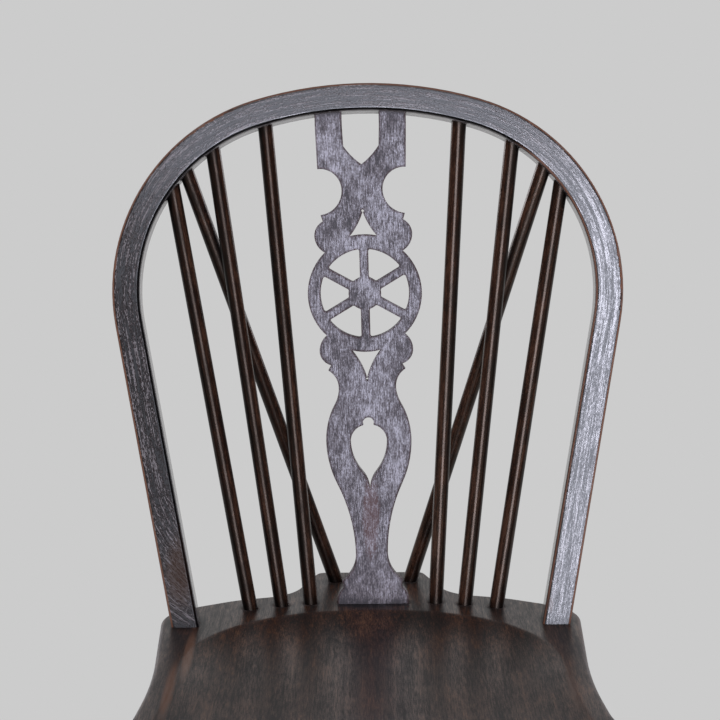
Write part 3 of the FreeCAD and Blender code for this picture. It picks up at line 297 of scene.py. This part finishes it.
def sharp_edges(width):
    """Returns a maker of a rounded normal, a mask of the edges and no painted light and shade. The width is
    in millimetres.
    """

    def find(tree):
        rounded = add(tree, "Bevel", {"Radius": width * MM}, samples=4)
        face = add(tree, "NewGeometry", {}).outputs["Normal"]
        same = add(tree, "VectorMath", {0: rounded, 1: face}, operation="DOT_PRODUCT").outputs["Value"]
        edge = add(tree, "MapRange", {"Value": same, "From Min": FLAT_MATCH, "From Max": EDGE_MATCH})
        return rounded, edge, 0.0

    return find


edge_turns = [round(math.degrees(math.acos(match)), 1) for match in (FLAT_MATCH, EDGE_MATCH)]
print("an edge shows where the normal has turned by", edge_turns[0], "to", edge_turns[1], "degrees")

# %% [markdown]
# The bow's edges are really rounded in its mesh, so there the test is that the face looks neither to the
# front nor to the side. With c for how far it looks to the front, from 0 to 1, the product of c*c and
# 1 - c*c is nought on the flat faces and a quarter half way round the edge. The outer edges are rubbed
# bare, and so is the inner edge of the right upright. The rest of the inner edge, on the left and under
# the crown, gets a thin black line of painted shade. Whether a face looks outward or inward is told by
# its place, measured from the middle of the bow.

# %% Bands along the bow's edges
FRONT = (0, -math.cos(LEAN), math.sin(LEAN))
NARROW_EDGE = (0.10, 0.16)
WIDE_EDGE = (0.004, 0.03)
OUTWARD = (-30 * MM, 30 * MM)
RIGHT_UPRIGHT = (120 * MM, 140 * MM)
RIGHT_RUBBED = 0.9


def edge_bands(tree, squared):
    """A narrow and a wide mask of the rounded edges, from c*c for a face's look to the front."""
    rest = add(tree, "Math", {0: 1.0, 1: squared}, operation="SUBTRACT")
    both_ways = add(tree, "Math", {0: squared, 1: rest}, operation="MULTIPLY")
    return [add(tree, "MapRange", {"Value": both_ways, "From Min": low, "From Max": high})
            for low, high in (NARROW_EDGE, WIDE_EDGE)]


def rubbed_side(tree, place, away):
    """A mask of the bow's rubbed sides: all that looks outward, and both sides of the right upright."""
    x = add(tree, "SeparateXYZ", {0: place}).outputs[0]
    outer = add(tree, "MapRange", {"Value": away, "From Min": OUTWARD[0], "From Max": OUTWARD[1]})
    right = add(tree, "MapRange", {"Value": x, "From Min": RIGHT_UPRIGHT[0], "From Max": RIGHT_UPRIGHT[1],
                                   "To Max": RIGHT_RUBBED})
    return add(tree, "Math", {0: outer, 1: right}, operation="MAXIMUM")


print("the bow's front looks along", [round(v, 2) for v in FRONT])

# %% Rubbed edges, the painted dark line and the inner sides
FRONT_HALF = (0.6, 0.8)
SIDE_HALF = (0.5, 0.4)
INWARD = (-30 * MM, -60 * MM)


def bow_masks(tree, normal, place, to_front, squared):
    """Masks of the bow's rubbed edges, of the dark line painted along its inner edge as painted shade, and of
    its inner sides.
    """
    from_middle = add(tree, "VectorMath", {0: place, 1: BOW_MIDDLE}, operation="SUBTRACT")
    away = add(tree, "VectorMath", {0: normal, 1: from_middle}, operation="DOT_PRODUCT").outputs["Value"]
    edge, wide_edge = edge_bands(tree, squared)
    rubbed = rubbed_side(tree, place, away)
    rubbed_edge = add(tree, "Math", {0: edge, 1: rubbed}, operation="MULTIPLY")

    kept = add(tree, "Math", {0: 1.0, 1: rubbed}, operation="SUBTRACT")
    low, high = FRONT_HALF
    front_half = add(tree, "MapRange", {"Value": to_front, "From Min": low, "From Max": high})
    front_edge = add(tree, "Math", {0: wide_edge, 1: front_half}, operation="MULTIPLY")
    # painted shade: a dark line along the front of the inner edge, except where it is rubbed
    painted_dark_edge = add(tree, "Math", {0: front_edge, 1: kept}, operation="MULTIPLY")

    inward = add(tree, "MapRange", {"Value": away, "From Min": INWARD[0], "From Max": INWARD[1]})
    low, high = SIDE_HALF
    side_half = add(tree, "MapRange", {"Value": squared, "From Min": low, "From Max": high})
    inner_side = add(tree, "Math", {0: inward, 1: side_half}, operation="MULTIPLY")
    return rubbed_edge, painted_dark_edge, inner_side


print("the bow's inner edge is bare from", round(RIGHT_UPRIGHT[1] / MM), "mm right of the middle")

# %% [markdown]
# The bow is sprung a little out of flat, as most are: towards its feet both uprights turn some degrees to
# the left, which moves the light on them. Its mesh is flat, so the shading turns alone. Three more
# normals are given. A rubbed edge takes the mesh's smooth normal. The inner sides look straight inward,
# so that at their low angle they mirror the pale backdrop, and their colour is made paler as well, which
# is a painted reflection. The painted dark line along the inner edge looks at the floor, where there is
# nothing bright to mirror, and its colour is darkened, which is painted shade.

# %% The bow's turned face
TURN_AT_FOOT = math.radians(8.5)
TURN_START, TURN_END = 430 * MM, 180 * MM
LOOKS_DOWN = (0, -0.3, -0.95)
# how much the inner sides are painted paler: a painted reflection of the backdrop
INSIDE_PAINTED_LIGHT = 0.8


def bow_edges(tree):
    """The bow's turned normal, a mask of its rubbed edges, and its painted light and shade: above 0 on the
    dark line painted along the inner edge, below 0 on the inner sides painted paler.
    """
    geometry = add(tree, "NewGeometry", {}).outputs
    normal, smooth, place = geometry["True Normal"], geometry["Normal"], geometry["Position"]
    to_front = add(tree, "VectorMath", {0: normal, 1: FRONT}, operation="DOT_PRODUCT").outputs["Value"]
    squared = add(tree, "Math", {0: to_front, 1: 2.0}, operation="POWER")
    rubbed_edge, painted_dark_edge, inner_side = bow_masks(tree, normal, place, to_front, squared)
    # painted light and shade: positive on the painted dark line, negative on the inner sides painted paler
    painted_light_and_shade = add(tree, "Math", {0: inner_side, 1: -INSIDE_PAINTED_LIGHT, 2: painted_dark_edge}, operation="MULTIPLY_ADD")

    frontal = add(tree, "VectorMath", {0: normal, 1: FRONT}, operation="PROJECT")
    sideways = add(tree, "VectorMath", {0: normal, 1: frontal}, operation="SUBTRACT")
    rounded = add(tree, "Mix", {0: rubbed_edge, 4: normal, 5: smooth}, data_type="VECTOR").outputs[1]
    straight = add(tree, "Mix", {0: inner_side, 4: rounded, 5: sideways}, data_type="VECTOR").outputs[1]
    creased = add(tree, "Mix", {0: painted_dark_edge, 4: straight, 5: LOOKS_DOWN}, data_type="VECTOR").outputs[1]

    height = add(tree, "SeparateXYZ", {0: place}).outputs[2]
    turn = add(tree, "MapRange", {"Value": height, "From Min": SEAT_HEIGHT + TURN_START,
                                  "From Max": SEAT_HEIGHT + TURN_END, "To Max": -TURN_AT_FOOT},
               interpolation_type="SMOOTHSTEP")
    angle = add(tree, "Math", {0: turn, 1: squared}, operation="MULTIPLY")
    turned = add(tree, "VectorRotate", {"Vector": creased, "Angle": angle}, rotation_type="Z_AXIS")
    return turned, rubbed_edge, painted_light_and_shade


print("uprights turned by", round(math.degrees(TURN_AT_FOOT), 1), "degrees below", round(TURN_END / MM), "mm")

# %% [markdown]
# ## Stained and waxed wood
#
# All the woods here had the same finish: a dark water stain, then many years of wax rubbed in with a
# cloth. What differs is the wood under it, so one function makes them all, and each wood gives it the
# width, the length and the strength of its own patterns. They are noises, stretched along the grain and
# added up into one value, called the blend, which is low in the pores and high where the wood stands up.
# Noise was chosen over waves or bands because real pores start and stop without any order.

# %% Layers of grain
REAL_PORE = 0.3 * MM


def layered(tree, place, blend, layers):
    """Adds a noise to the blend for each layer: its width and length in millimetres, and its strength."""
    for width, length, strength in layers:
        scale = (1 / (width * MM), 1 / (width * MM), 1 / (length * MM))
        scaled = add(tree, "VectorMath", {0: place, 1: scale}, operation="MULTIPLY")
        noise = add(tree, "TexNoise", {"Vector": scaled, "Scale": 1.0, "Detail": 2.0, "Roughness": 0.55})
        centred = add(tree, "Math", {0: noise, 1: 0.5}, operation="SUBTRACT")
        blend = add(tree, "Math", {0: centred, 1: strength, 2: blend}, operation="MULTIPLY_ADD")
    return blend


print("a real pore is", round(REAL_PORE / picture_point, 2), "of a picture point wide, too little to show")

# %% [markdown]
# Polish doesn't lie evenly, and the shade doesn't either. The Ambient Occlusion node finds the corners
# where a stick meets the seat, and the blend starts lower in them, so they are painted darker and duller:
# that is painted shade. Some marks belong to this one chair, and the black patch before the splat is
# painted shade too. They could be painted by hand in Blender's texture mode, but a picture would then
# have to be kept with the chair. So each is a spot with a place, a reach and a colour, and the grain
# makes its rim ragged.

# %% Painted shade in corners, and old marks
CORNER_REACH = 9 * MM
CORNER_SHUT, CORNER_OPEN = 0.45, 0.9
BLEND_IN_CORNER, BLEND_IN_OPEN = 0.25, 0.5
RAGGED = 1.5
SPOT_RIM = (1.9, 1.5)
SPOT_STRENGTH = 0.8


def painted_corner_shade(tree):
    """The blend to start from: lower in a corner than on an open face, which paints shade into the corners.
    """
    corner = add(tree, "AmbientOcclusion", {"Distance": CORNER_REACH}, samples=4).outputs["AO"]
    return add(tree, "MapRange", {"Value": corner, "From Min": CORNER_SHUT, "From Max": CORNER_OPEN,
                                  "To Min": BLEND_IN_CORNER, "To Max": BLEND_IN_OPEN})


def marked(tree, paint, blend, marks):
    """Lays ragged spots of other colours over a paint. Each has a place and a reach in millimetres."""
    here = add(tree, "TexCoord", {}).outputs["Object"]
    for centre, reach, colour in marks:
        away = add(tree, "VectorMath", {0: here, 1: Vector(centre) * MM}, operation="SUBTRACT")
        scaled = add(tree, "VectorMath", {0: away, 1: [1 / (v * MM) for v in reach]}, operation="MULTIPLY")
        distance = add(tree, "VectorMath", {0: scaled}, operation="LENGTH").outputs["Value"]
        ragged = add(tree, "Math", {0: blend, 1: RAGGED, 2: distance}, operation="MULTIPLY_ADD")
        spot = add(tree, "MapRange", {"Value": ragged, "From Min": SPOT_RIM[0], "From Max": SPOT_RIM[1],
                                      "To Max": SPOT_STRENGTH})
        paint = add(tree, "Mix", {0: spot, 6: paint, 7: hex_colour(colour)}, data_type="RGBA").outputs[2]
    return paint


print("corners darken over", round(CORNER_REACH / MM), "mm")

# %% Stain and wear
WEAR_STRENGTH = 0.85


def stain(tree, blend, colours, bare, wear, marks):
    """The wood's colour: its stain by the blend, bare wood on the rubbed edges, and its marks."""
    paint = add(tree, "ValToRGB", {0: blend})
    stops = paint.color_ramp.elements
    while len(stops) < len(colours):
        stops.new(0.5)
    for stop, (value, colour) in zip(stops, colours):
        stop.position = value
        stop.color = hex_colour(colour)
    worn = add(tree, "Mix", {0: bare, 6: paint, 7: hex_colour(wear)}, data_type="RGBA").outputs[2]
    return marked(tree, worn, blend, marks)


print("rubbed edges lose", round(100 * WEAR_STRENGTH), "percent of their stain")

# %% [markdown]
# The polish does most of the work. Where the wood stands up between its pores the wax is rubbed smooth,
# and throws the window back. In the pores it is rough and dull, so the same lines that are dark on a
# bright face are hardly seen on a dark one. That is why the pattern goes into the roughness and a small
# bump as well as into the colour. Wax and varnish have an IOR near 1.5 and are no metal. Rubbed wax has a
# roughness of 0.2 to 0.4. Each wood's gloss starts from that and is then matched to the chair: first the
# roughness of its rubbed polish, then that of its pores.

# %% A stained and waxed wood
WAX_IOR = 1.5
POLISHED_BLEND = (0.38, 0.6)
WORN_ROUGHNESS = 0.8
# how far the painted light and shade of the bow's edges move the blend
PAINTED_LIGHT_AND_SHADE_STRENGTH = 0.35
PORE_DEPTH = 0.2 * MM
CUT_APART = (1.0, 0.7, 1.3)


def stained(name, grain, colours, layers, gloss, edges, wear, level=0.5, relief=0.5, seed=0.0,
            rubbed=(0, 0, 0), marks=(), tint="#ffffff"):
    """A stained, waxed wood. colours run from the darkest stain to the palest polish, each with its blend.
    gloss is the roughness of the rubbed polish and of the dull pores. edges finds the edges and the
    painted light and shade, and wear is the edges' colour. level and tint are the strength and colour of
    the wax's shine, relief the strength of the pores' bump. seed says how far away in the wood, in metres,
    the piece was cut, and rubbed is the way that the side looks whose blend is raised, so that its colour
    is painted lighter as if that side were lit: painted light."""
    material = bpy.data.materials.new(name)
    material.use_nodes = True
    tree = material.node_tree
    surface = tree.nodes["Principled BSDF"]
    normal, edge, painted_light_and_shade = edges(tree)
    place = add(tree, "VectorMath", {0: grain(tree), 1: [seed * v for v in CUT_APART]}, operation="ADD")
    # painted light: the blend is raised on the side that rubbed points to, as if that side were lit
    painted_light_side = add(tree, "VectorMath", {0: normal, 1: rubbed}, operation="DOT_PRODUCT").outputs["Value"]
    # painted shade: the blend is lowered in corners and along the bow's painted dark line, and raised on the
    # bow's inner sides, which are painted paler
    painted_light_start = add(tree, "Math", {0: painted_light_and_shade, 1: -PAINTED_LIGHT_AND_SHADE_STRENGTH, 2: painted_corner_shade(tree)}, operation="MULTIPLY_ADD")
    start = add(tree, "Math", {0: painted_light_side, 1: painted_light_start}, operation="ADD")
    blend = layered(tree, place, start, layers)
    bare = add(tree, "Math", {0: edge, 1: WEAR_STRENGTH}, operation="MULTIPLY")
    tree.links.new(stain(tree, blend, colours, bare, wear, marks), surface.inputs["Base Color"])

    low, high = POLISHED_BLEND
    polish = add(tree, "MapRange", {"Value": blend, "From Min": low, "From Max": high,
                                    "To Min": gloss[1], "To Max": gloss[0]})
    dulled = add(tree, "Mix", {0: bare, 2: polish, 3: WORN_ROUGHNESS})
    tree.links.new(dulled.outputs[0], surface.inputs["Roughness"])
    bump = add(tree, "Bump", {"Strength": relief, "Distance": PORE_DEPTH, "Height": blend, "Normal": normal})
    tree.links.new(bump.outputs[0], surface.inputs["Normal"])
    surface.inputs["IOR"].default_value = WAX_IOR
    surface.inputs["Specular IOR Level"].default_value = level
    surface.inputs["Specular Tint"].default_value = hex_colour(tint)
    return material


thrown_back = ((WAX_IOR - 1) / (WAX_IOR + 1)) ** 2
print("seen square on, wax throws back", round(100 * thrown_back), "percent of the light")


# %% Give a piece its wood
def dress(material, *names):
    """Gives CAD pieces their material."""
    for name in names:
        for place in nodes[name].material_slots:
            place.material = material
    print(material.name, "on", ", ".join(names))


print("pieces to dress:", ", ".join(sorted(nodes)))

# %% [markdown]
# ## The bow: ash, steam bent and waxed
#
# Ash is tough and springy, which is why bows are made of it. Each year's growth starts with a row of open
# pores, and where the saw cuts them lengthwise they show as long, broken, sunken lines. Stain settles in
# them and turns them black. The eye gets two woods from it: on the right the rubbed wax is a pale grey
# full of dark lines, and on the left, where the face is turned from the window, it is nearly black with
# pale ones. One material gives both, because the difference is in the light.
#
# The real pores are about 0.3 mm wide, less than half a picture point, so they are drawn 0.8 to 0.9 mm
# wide here, just coarse enough to show. Hard old wax on ash is the glossiest of all the finishes here.

# %% Ash bow
ASH_LAYERS = [
    (0.8, 2.0, 0.65),  # single pores
    (0.9, 30, 0.75),  # rows of pores
    (2.5, 90, 0.45),  # rings of growth
    (7, 25, 0.25),  # uneven stain
]
# The palest stop, a pale grey, is partly the polished wood's own colour and partly painted sheen.
ASH_COLOURS = [(0.38, "#030202"), (0.48, "#120c0a"), (0.55, "#2a2220"), (0.63, "#757070")]
ASH_GLOSS = (0.13, 0.40)  # roughness of the rubbed polish and of the pores
RIGHT_FOOT_SMEAR = ((147, 60, 453), (3, 90, 6), "#3f281c")
LEFT_BROWN_PATCH = ((-156, 60, 482), (12, 90, 30), "#331e0f")

ash = stained("ash_steam_bent_stained", bow_grain, ASH_COLOURS, ASH_LAYERS, ASH_GLOSS, bow_edges,
              "#74482f", level=0.8, relief=0.22, seed=0.3, marks=[RIGHT_FOOT_SMEAR, LEFT_BROWN_PATCH])
dress(ash, "hoop")

# %% [markdown]
# ## The splat: beech, fretsawn and scraped flat
#
# Beech is close and even, and can be sawn into thin curves without splitting, so the wheel is cut from
# it. It has no open pores, only a fine fleck and faint long streaks. Its stain has gone patchy, and its
# polish is duller than the bow's, which the eye reads as a soft, slightly blue bloom. Its palest colour
# is a grey that is partly the stain's own and partly painted sheen. The sawn edges are worn red-brown.
#
# The fleck is 0.3 mm wide on the real wood and drawn 0.9 mm wide, so that it shows. More detail of bare
# beech could be drawn, but what the eye meets is the polish, so the patches matter most, and four of the
# largest are put where they are on this chair.

# %% Beech splat
BEECH_LAYERS = [
    (0.9, 1.8, 0.45),  # fleck
    (1.0, 25, 0.5),  # long streaks
    (6, 10, 0.3),  # blotches of stain
    (30, 40, 0.35),  # broad, uneven polish
]
# The palest stops are partly the stain's own grey and partly painted sheen.
BEECH_COLOURS = [(0.36, "#20110d"), (0.46, "#3a2825"), (0.56, "#534442"), (0.66, "#75686a")]
BEECH_GLOSS = (0.32, 0.60)
BEECH_MARKS = [
    ((1, 161, 510), (7, 30, 34), "#4a251a"),  # brown stain below the teardrop
    ((34, 216, 745), (9, 30, 9), "#241715"),  # dark patch on the right upper lobe
    ((5, 222, 772), (12, 30, 12), "#3a2620"),  # dark patch between the scoops
    ((-31, 237, 839), (7, 30, 2), "#1d1412"),  # dark line on the left prong
]

beech = stained("beech_sawn_stained", splat_grain, BEECH_COLOURS, BEECH_LAYERS, BEECH_GLOSS,
                sharp_edges(2.8), "#3a170d", level=0.57, relief=0.35, seed=1.7, marks=BEECH_MARKS,
                tint="#edf5ff")
dress(beech, "splat")

# %% [markdown]
# ## The sticks: ash, turned round
#
# The six back sticks and the two braces are thin round rods. Round polished wood shows the eye a narrow
# line of light along it, and beside the line it is nearly black, with a warm brown where the stain is
# thin. The line comes by itself from a low roughness and a round mesh. On the side that faces the chair's
# middle the blend is raised, which is painted light: that side is painted browner and glossier, as if lit.
#
# Each stick was cut from its own piece of wood, so each gets a seed of its own and its own direction of
# grain. That direction is worked out from the stick's box: a stick leans outward and back as it rises.

# %% Which way a stick runs
def stick_line(name):
    """A stick's foot and the line to its top: its foot is the end nearer the chair's middle and front."""
    low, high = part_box(name)
    side = -1 if "left" in name else 1
    foot = Vector((side * min(abs(low.x), abs(high.x)), low.y, low.z))
    top = Vector((side * max(abs(low.x), abs(high.x)), high.y, high.z))
    return foot, top - foot


sticks = sorted(n for n in nodes if n.startswith(("stick", "brace")))
print(len(sticks), "sticks, the longest", round(max(stick_line(n)[1].length for n in sticks) / MM), "mm")

# %% Ash sticks
STICK_LAYERS = [
    (0.8, 12, 0.35),  # pores, again drawn wider than the real 0.3 mm
    (0.7, 1.6, 0.3),  # dust and small knocks
    (4, 90, 0.3),  # rings of growth
    (6, 30, 0.35),  # uneven stain
]
STICK_COLOURS = [(0.40, "#020101"), (0.48, "#0f0806"), (0.58, "#22140e"), (0.70, "#402a1f")]
STICK_GLOSS = (0.18, 0.44)
STICK_APART = 3.1
# the way each stick's painted light comes from: the side facing the chair's middle is painted lighter, as if
# lit
LEFT_PAINTED_LIGHT, LEFT_SHINE = (0.1, -0.03, 0), 0.22
RIGHT_PAINTED_LIGHT, RIGHT_SHINE = (-0.1, -0.08, 0), 0.36

for number, name in enumerate(sticks):
    foot, line = stick_line(name)
    painted_light_side, shine = (LEFT_PAINTED_LIGHT, LEFT_SHINE) if "left" in name else (RIGHT_PAINTED_LIGHT, RIGHT_SHINE)
    wood = stained("ash_turned_stained_" + name, straight_grain(foot, line), STICK_COLOURS, STICK_LAYERS,
                   STICK_GLOSS, sharp_edges(1.0), "#2a170f", level=shine, relief=0.3,
                   seed=number * STICK_APART, rubbed=painted_light_side, tint="#f0d9c6")
    dress(wood, name)

# %% [markdown]
# ## The seat: elm, hollowed and scraped
#
# The seat is one thick board of elm, whose fibres are so tangled that it can be hollowed and bored for
# all its joints without splitting. It was hollowed, scraped smooth, stained and waxed. The eye gets a
# dark, even, satin brown with fine lines from front to back, and a broad figure behind them. The dark
# patch in front of the splat is painted shade, a black spot where the splat's foot shades the seat. The
# pale strips along both edges are worn nearly down to bare wood. The fine lines are pores, drawn three
# times as wide as they are, to show.

# %% Elm seat
ELM_LAYERS = [
    (0.9, 12, 0.6),  # pores, 0.3 mm wide on the real wood
    (3, 150, 0.3),  # rings of growth
    (24, 60, 0.35),  # broad figure
    (0.8, 2.0, 0.35),  # small scratches
]
ELM_COLOURS = [(0.36, "#0d0807"), (0.46, "#241611"), (0.56, "#3d261c"), (0.68, "#664631")]
ELM_GLOSS = (0.28, 0.44)
ELM_MARKS = [
    ((2, 140, 437), (36, 5, 9), "#050303"),  # painted shade before the splat
    ((-144, 30, 432), (4, 60, 9), "#6e4933"),  # worn left edge, rear half
    ((-152, -50, 432), (4, 60, 9), "#6e4933"),  # worn left edge, front half
    ((151, -50, 432), (4, 50, 9), "#4d3020"),  # worn right edge
]

elm = stained("elm_hollowed_stained", seat_grain, ELM_COLOURS, ELM_LAYERS, ELM_GLOSS, sharp_edges(5.0),
              "#4a2f22", level=0.7, relief=0.3, seed=4.4, marks=ELM_MARKS)
dress(elm, "seat")

# %% [markdown]
# ## Legs, stretchers and wedges: beech, turned or split
#
# The photograph stops above them, so they have what such chairs have: beech, turned on a lathe, with the
# same stain and wax as the rest. Beech turns cleanly, and the eye gets smooth round forms, a little
# lighter than the sticks, with faint streaks along them and brown wear on the rings. The two wedges under
# the seat are split from the same wood. Each piece has its own grain along its own axis, worked out from
# its box, which is longer than the axis by the piece's width.

# %% Which way a leg or stretcher runs
LEG_WIDTH = 33 * MM
STRETCHER_WIDTH = 27 * MM


def turned_line(name):
    """The direction of the axis of a leg, a stretcher or a wedge."""
    low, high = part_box(name)
    inward = 1 if "left" in name else -1
    if name == "stretcher_cross":
        return Vector((1, 0, 0))
    if name.startswith("stretcher"):
        return Vector((inward * (high.x - low.x - STRETCHER_WIDTH), high.y - low.y, 0))
    if name.startswith("leg"):
        backward = 1 if "front" in name else -1
        across, deep = high.x - low.x - LEG_WIDTH, high.y - low.y - LEG_WIDTH
        return Vector((inward * across, backward * deep, high.z))
    return Vector((0, 0, 1))


turned_pieces = sorted(n for n in nodes if n.startswith(("leg", "stretcher", "wedge")))
print(len(turned_pieces), "pieces below the seat")

# %% Beech legs, stretchers and wedges
TURNED_LAYERS = [
    (0.9, 40, 0.5),  # long streaks
    (4, 90, 0.4),  # rings of growth
    (8, 30, 0.3),  # uneven stain
]
TURNED_COLOURS = [(0.32, "#0d0806"), (0.46, "#1d120d"), (0.58, "#321f16"), (0.74, "#4c3326")]
TURNED_GLOSS = (0.28, 0.45)
TURNED_FIRST, TURNED_APART = 11, 2.3

for number, name in enumerate(turned_pieces):
    grain = straight_grain(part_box(name)[0], turned_line(name))
    surface = "beech_split_stained_" if name.startswith("wedge") else "beech_turned_stained_"
    wood = stained(surface + name, grain, TURNED_COLOURS, TURNED_LAYERS, TURNED_GLOSS, sharp_edges(0.9),
                   "#4a2c1e", seed=number * TURNED_APART + TURNED_FIRST)
    dress(wood, name)

# %% [markdown]
# ## The floor
#
# The chair stands on a sheet of matt paper, of a warm pale grey. Paper has almost no shine, so its
# roughness is 0.9 and its specular level low. The floor catches the chair's shadow, and out from the
# chair it fades into the backdrop's flat grey, so that no horizon shows. It could be lit until it is as
# pale as the backdrop, but that light would fall on the chair too. So only what the camera or a mirror
# sees is swapped for an even glow of the backdrop's colour, by the Light Path node.

# %% Paper floor
BACKDROP = "#cccccc"
PAPER = "#dcd9d3"
PAPER_ROUGHNESS, PAPER_SHINE = 0.9, 0.1
FADE_START, FADE_END = 0.45, 0.95


def paper_floor():
    """Matt paper that fades into the backdrop's colour with the distance from the chair."""
    paper = bpy.data.materials.new("paper_floor")
    paper.use_nodes = True
    tree = paper.node_tree
    surface = tree.nodes["Principled BSDF"]
    surface.inputs["Base Color"].default_value = hex_colour(PAPER)
    surface.inputs["Roughness"].default_value = PAPER_ROUGHNESS
    surface.inputs["Specular IOR Level"].default_value = PAPER_SHINE
    path = add(tree, "LightPath", {}).outputs
    seen = add(tree, "Math", {0: path["Is Camera Ray"], 1: path["Is Glossy Ray"]}, operation="MAXIMUM")
    here = add(tree, "TexCoord", {}).outputs["Object"]
    away = add(tree, "VectorMath", {0: here}, operation="LENGTH").outputs["Value"]
    far = add(tree, "MapRange", {"Value": away, "From Min": FADE_START, "From Max": FADE_END},
              interpolation_type="SMOOTHSTEP")
    plain = add(tree, "Math", {0: seen, 1: far}, operation="MULTIPLY")
    glow = add(tree, "Emission", {"Color": hex_colour(BACKDROP), "Strength": 1.0})
    mixed = add(tree, "MixShader", {0: plain, 1: surface, 2: glow})
    tree.links.new(mixed.outputs[0], tree.nodes["Material Output"].inputs["Surface"])
    return paper


print("paper", PAPER, "fades to", BACKDROP, "from", FADE_START, "to", FADE_END, "m out")

# %% Lay the floor
FLOOR_HALF = 12.0

floor_mesh = bpy.data.meshes.new("floor")
corners = [(x * FLOOR_HALF, y * FLOOR_HALF, 0) for x, y in ((-1, -1), (1, -1), (1, 1), (-1, 1))]
floor_mesh.from_pydata(corners, [], [(0, 1, 2, 3)])
floor_mesh.materials.append(paper_floor())
floor = bpy.data.objects.new("floor", floor_mesh)
bpy.context.scene.collection.objects.link(floor)
print("floor", 2 * FLOOR_HALF, "m across")

# %% [markdown]
# ## The backdrop
#
# Behind the chair is a plain pale grey. The world gives it, in two strengths. What the camera sees is the
# full grey. What lights the chair is the same grey at a small part of that strength, so that the sides
# turned from the lamps stay dark, as they are in the photograph. Mirrors see the full grey only straight
# behind the chair, where the backdrop hangs, and that lights the thin inner sides of the bow.

# %% Backdrop
SOFT_STRENGTH = 0.15
WALL_START, WALL_WHOLE = 0.75, 0.92

world = bpy.data.worlds.new("studio")
world.use_nodes = True
bpy.context.scene.world = world
tree = world.node_tree
path = add(tree, "LightPath", {}).outputs
direction = add(tree, "TexCoord", {}).outputs["Generated"]
backward = add(tree, "SeparateXYZ", {0: direction}).outputs[1]
wall = add(tree, "MapRange", {"Value": backward, "From Min": WALL_START, "From Max": WALL_WHOLE},
           interpolation_type="SMOOTHSTEP")
mirrored = add(tree, "Math", {0: path["Is Glossy Ray"], 1: wall}, operation="MULTIPLY")
looked = add(tree, "Math", {0: path["Is Camera Ray"], 1: path["Is Transmission Ray"]}, operation="MAXIMUM")
seen = add(tree, "Math", {0: looked, 1: mirrored}, operation="MAXIMUM")
soft = add(tree, "Background", {"Color": hex_colour(BACKDROP), "Strength": SOFT_STRENGTH})
full = add(tree, "Background", {"Color": hex_colour(BACKDROP), "Strength": 1.0})
both = add(tree, "MixShader", {0: seen, 1: soft, 2: full})
tree.links.new(both.outputs[0], tree.nodes["World Output"].inputs["Surface"])
print("backdrop", BACKDROP, "that lights at", SOFT_STRENGTH, "of its strength")

# %% [markdown]
# ## The lamps
#
# The sheen tells where the light stood: one large window behind the camera, a little to the right,
# because the right upright mirrors it whole and the left one only its edge. A small lamp with more power
# would light the wood as well, but it would be a dot in the polish, so the size matters more than the
# power. A weaker lamp overhead shapes the seat. Two more behind the chair hardly show from the front:
# they are there for anyone who walks round it.
#
# A lamp is given here by the brightness of its face, which is what polish mirrors. Its power in watts
# follows from that and from its size.

# %% A softbox
def softbox(name, place, target, size, brightness, tint):
    """A lamp with a flat face in metres that looks from a place at a target, hidden from the camera."""
    lamp = bpy.data.lights.new(name, "AREA")
    lamp.shape = "RECTANGLE"
    lamp.size, lamp.size_y = size
    lamp.energy = brightness * math.pi * size[0] * size[1]
    lamp.color = hex_colour(tint)[:3]
    made = bpy.data.objects.new(name, lamp)
    made.location = place
    made.rotation_euler = (Vector(target) - Vector(place)).to_track_quat("-Z", "Y").to_euler()
    made.visible_camera = False
    bpy.context.scene.collection.objects.link(made)
    print(name, round(lamp.energy), "W")


# %% Set up the lamps
softbox("window", place=(0.2, -2.6, 0.92), target=(0, 0.15, 0.62), size=(1.25, 1.7), brightness=12.5,
        tint="#e8ebfc")
softbox("ceiling", place=(0, -1.6, 2.9), target=(0, 0.1, 0.4), size=(1.6, 1.0), brightness=2.5,
        tint="#f7f6ff")
for name, side in (("back_left", -1), ("back_right", 1)):
    softbox(name, place=(side * 2.2, 2.2, 1.5), target=(0, 0, 0.5), size=(1.4, 1.4), brightness=5.5,
            tint="#fbf9ff")

bpy.context.scene.view_settings.view_transform = "Standard"
